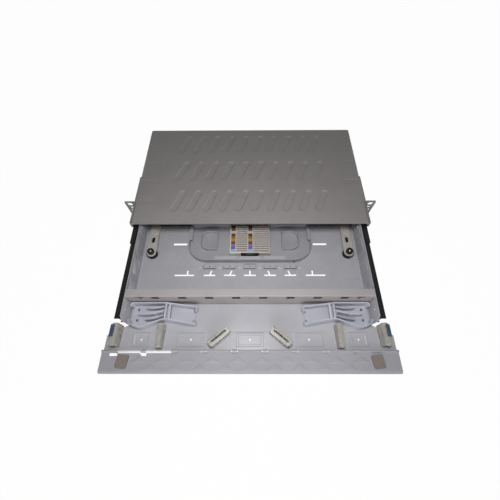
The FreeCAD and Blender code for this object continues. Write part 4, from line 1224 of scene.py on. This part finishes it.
@dataclass
class Studio:
    """Camera at the photograph's place, two soft lamps, white floor and world."""

    place: Place = (2.385 * MM, -338.653 * MM, 354.423 * MM)
    pitch: float = math.radians(69.213)
    yaw: float = math.radians(0.849)
    roll: float = math.radians(-0.836)
    focal_pixels: float = 225.0
    principal_row: float = 304.467
    key_place: Place = (0.0, -235 * MM, 430 * MM)
    key_side: float = 140 * MM
    key_power: float = 1.6
    fill_place: Place = (0.0, -950 * MM, 180 * MM)
    fill_side: float = 500 * MM
    fill_power: float = 3.0
    world_level: float = 0.10
    floor_side: float = 6.0
    floor_gap: float = 0.2 * MM
    floor_grey: float = 0.75
    floor_roughness: float = 0.9
    floor_glow: float = 0.98

    def build(self) -> None:
        """Set the stage."""
        bpy.context.scene.view_settings.view_transform = "Standard"
        self.floor()
        self.world()
        below_key = (self.key_place[0], self.key_place[1], 0.0)
        self.lamp("key_lamp", self.key_place, self.key_side, self.key_power, below_key)
        self.lamp("fill_lamp", self.fill_place, self.fill_side, self.fill_power, (0.0, 0.0, 0.0))
        self.camera()

    def axes(self) -> tuple[Vector, Vector, Vector]:
        """Work out the camera's right, up and forward directions.

        Returns:
            The three unit vectors.
        """
        across = Vector((math.cos(self.yaw), math.sin(self.yaw), 0.0))
        ahead = Vector((-math.sin(self.yaw), math.cos(self.yaw), 0.0))
        down = Vector((0.0, 0.0, -1.0))
        forward = ahead * math.cos(self.pitch) + down * math.sin(self.pitch)
        rise = ahead * math.sin(self.pitch) - down * math.cos(self.pitch)
        right = across * math.cos(self.roll) + rise * math.sin(self.roll)
        up = rise * math.cos(self.roll) - across * math.sin(self.roll)
        return right, up, forward

    def camera(self) -> None:
        """Set up the camera."""
        right, up, forward = self.axes()
        data = bpy.data.cameras.new("photo_camera")
        data.sensor_width = SENSOR
        data.lens = self.focal_pixels / IMAGE_SIDE * SENSOR
        data.shift_y = (self.principal_row - IMAGE_SIDE / 2) / IMAGE_SIDE
        camera = bpy.data.objects.new("photo_camera", data)
        turn = Matrix((right, up, -forward)).transposed().to_4x4()
        camera.matrix_world = Matrix.Translation(self.place) @ turn
        bpy.context.scene.collection.objects.link(camera)
        bpy.context.scene.camera = camera

    def lamp(self, name: str, place: Place, side: float, power: float, aim: Place) -> None:
        """Hang a soft square lamp.

        Args:
            name: Name of the lamp.
            place: Where it hangs.
            side: Side of its square.
            power: Its power in watts.
            aim: Point that it faces.
        """
        data = bpy.data.lights.new(name, "AREA")
        data.size = side
        data.energy = power
        lamp = bpy.data.objects.new(name, data)
        lamp.location = place
        lamp.rotation_euler = (Vector(aim) - Vector(place)).to_track_quat("-Z", "Y").to_euler()
        bpy.context.scene.collection.objects.link(lamp)

    def world(self) -> None:
        """Make the world white where it is seen and a weak light elsewhere."""
        tree = NodeTree(bpy.data.worlds.new("studio_world"))
        background = tree.nodes["Background"]
        tree.set_inputs(background, {"Color": (1.0, 1.0, 1.0, 1.0)})
        strength = tree.map_range(tree.white_switch(), {"To Min": self.world_level, "To Max": 1.0})
        tree.link(strength, background.inputs["Strength"])
        bpy.context.scene.world = tree.owner

    def floor(self) -> None:
        """Lay a white floor that keeps a soft shadow."""
        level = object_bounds()[0].z - self.floor_gap
        shape = bmesh.new()
        bmesh.ops.create_grid(shape, x_segments=1, y_segments=1, size=self.floor_side / 2,
                              matrix=Matrix.Translation((0, 0, level)))
        floor = new_object("studio_floor", shape)
        surface = Surface("floor_white")
        grey = (self.floor_grey, self.floor_grey, self.floor_grey, 1.0)
        surface.set_inputs(surface.shader, {"Base Color": grey, "Roughness": self.floor_roughness})
        glow = surface.add("ShaderNodeEmission", {"Strength": 1.0})
        mix = surface.nodes.new("ShaderNodeMixShader")
        share = surface.map_range(surface.white_switch(), {"To Max": self.floor_glow})
        surface.link(share, mix.inputs["Fac"])
        surface.link(surface.shader.outputs["BSDF"], mix.inputs[1])
        surface.link(glow.outputs["Emission"], mix.inputs[2])
        surface.link(mix.outputs["Shader"], surface.nodes["Material Output"].inputs["Surface"])
        floor.data.materials.append(surface.owner)
        floor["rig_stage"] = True


def main() -> None:
    """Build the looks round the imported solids, part by part."""
    logging.basicConfig(level=logging.INFO, format="%(name)s: %(message)s")
    for leftover in list(bpy.data.objects):
        bpy.data.objects.remove(leftover)
    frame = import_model()
    assemblies = (Chassis(frame), Slides(frame), Drawer(frame), Hinge(frame), FrontFlap(frame),
                  SpliceDeck(frame), CordGuides(frame), Anchors(frame), Fasteners(frame))
    for assembly in assemblies:
        for piece in assembly.build():
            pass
    Studio().build()


if __name__ == "__main__":
    main()
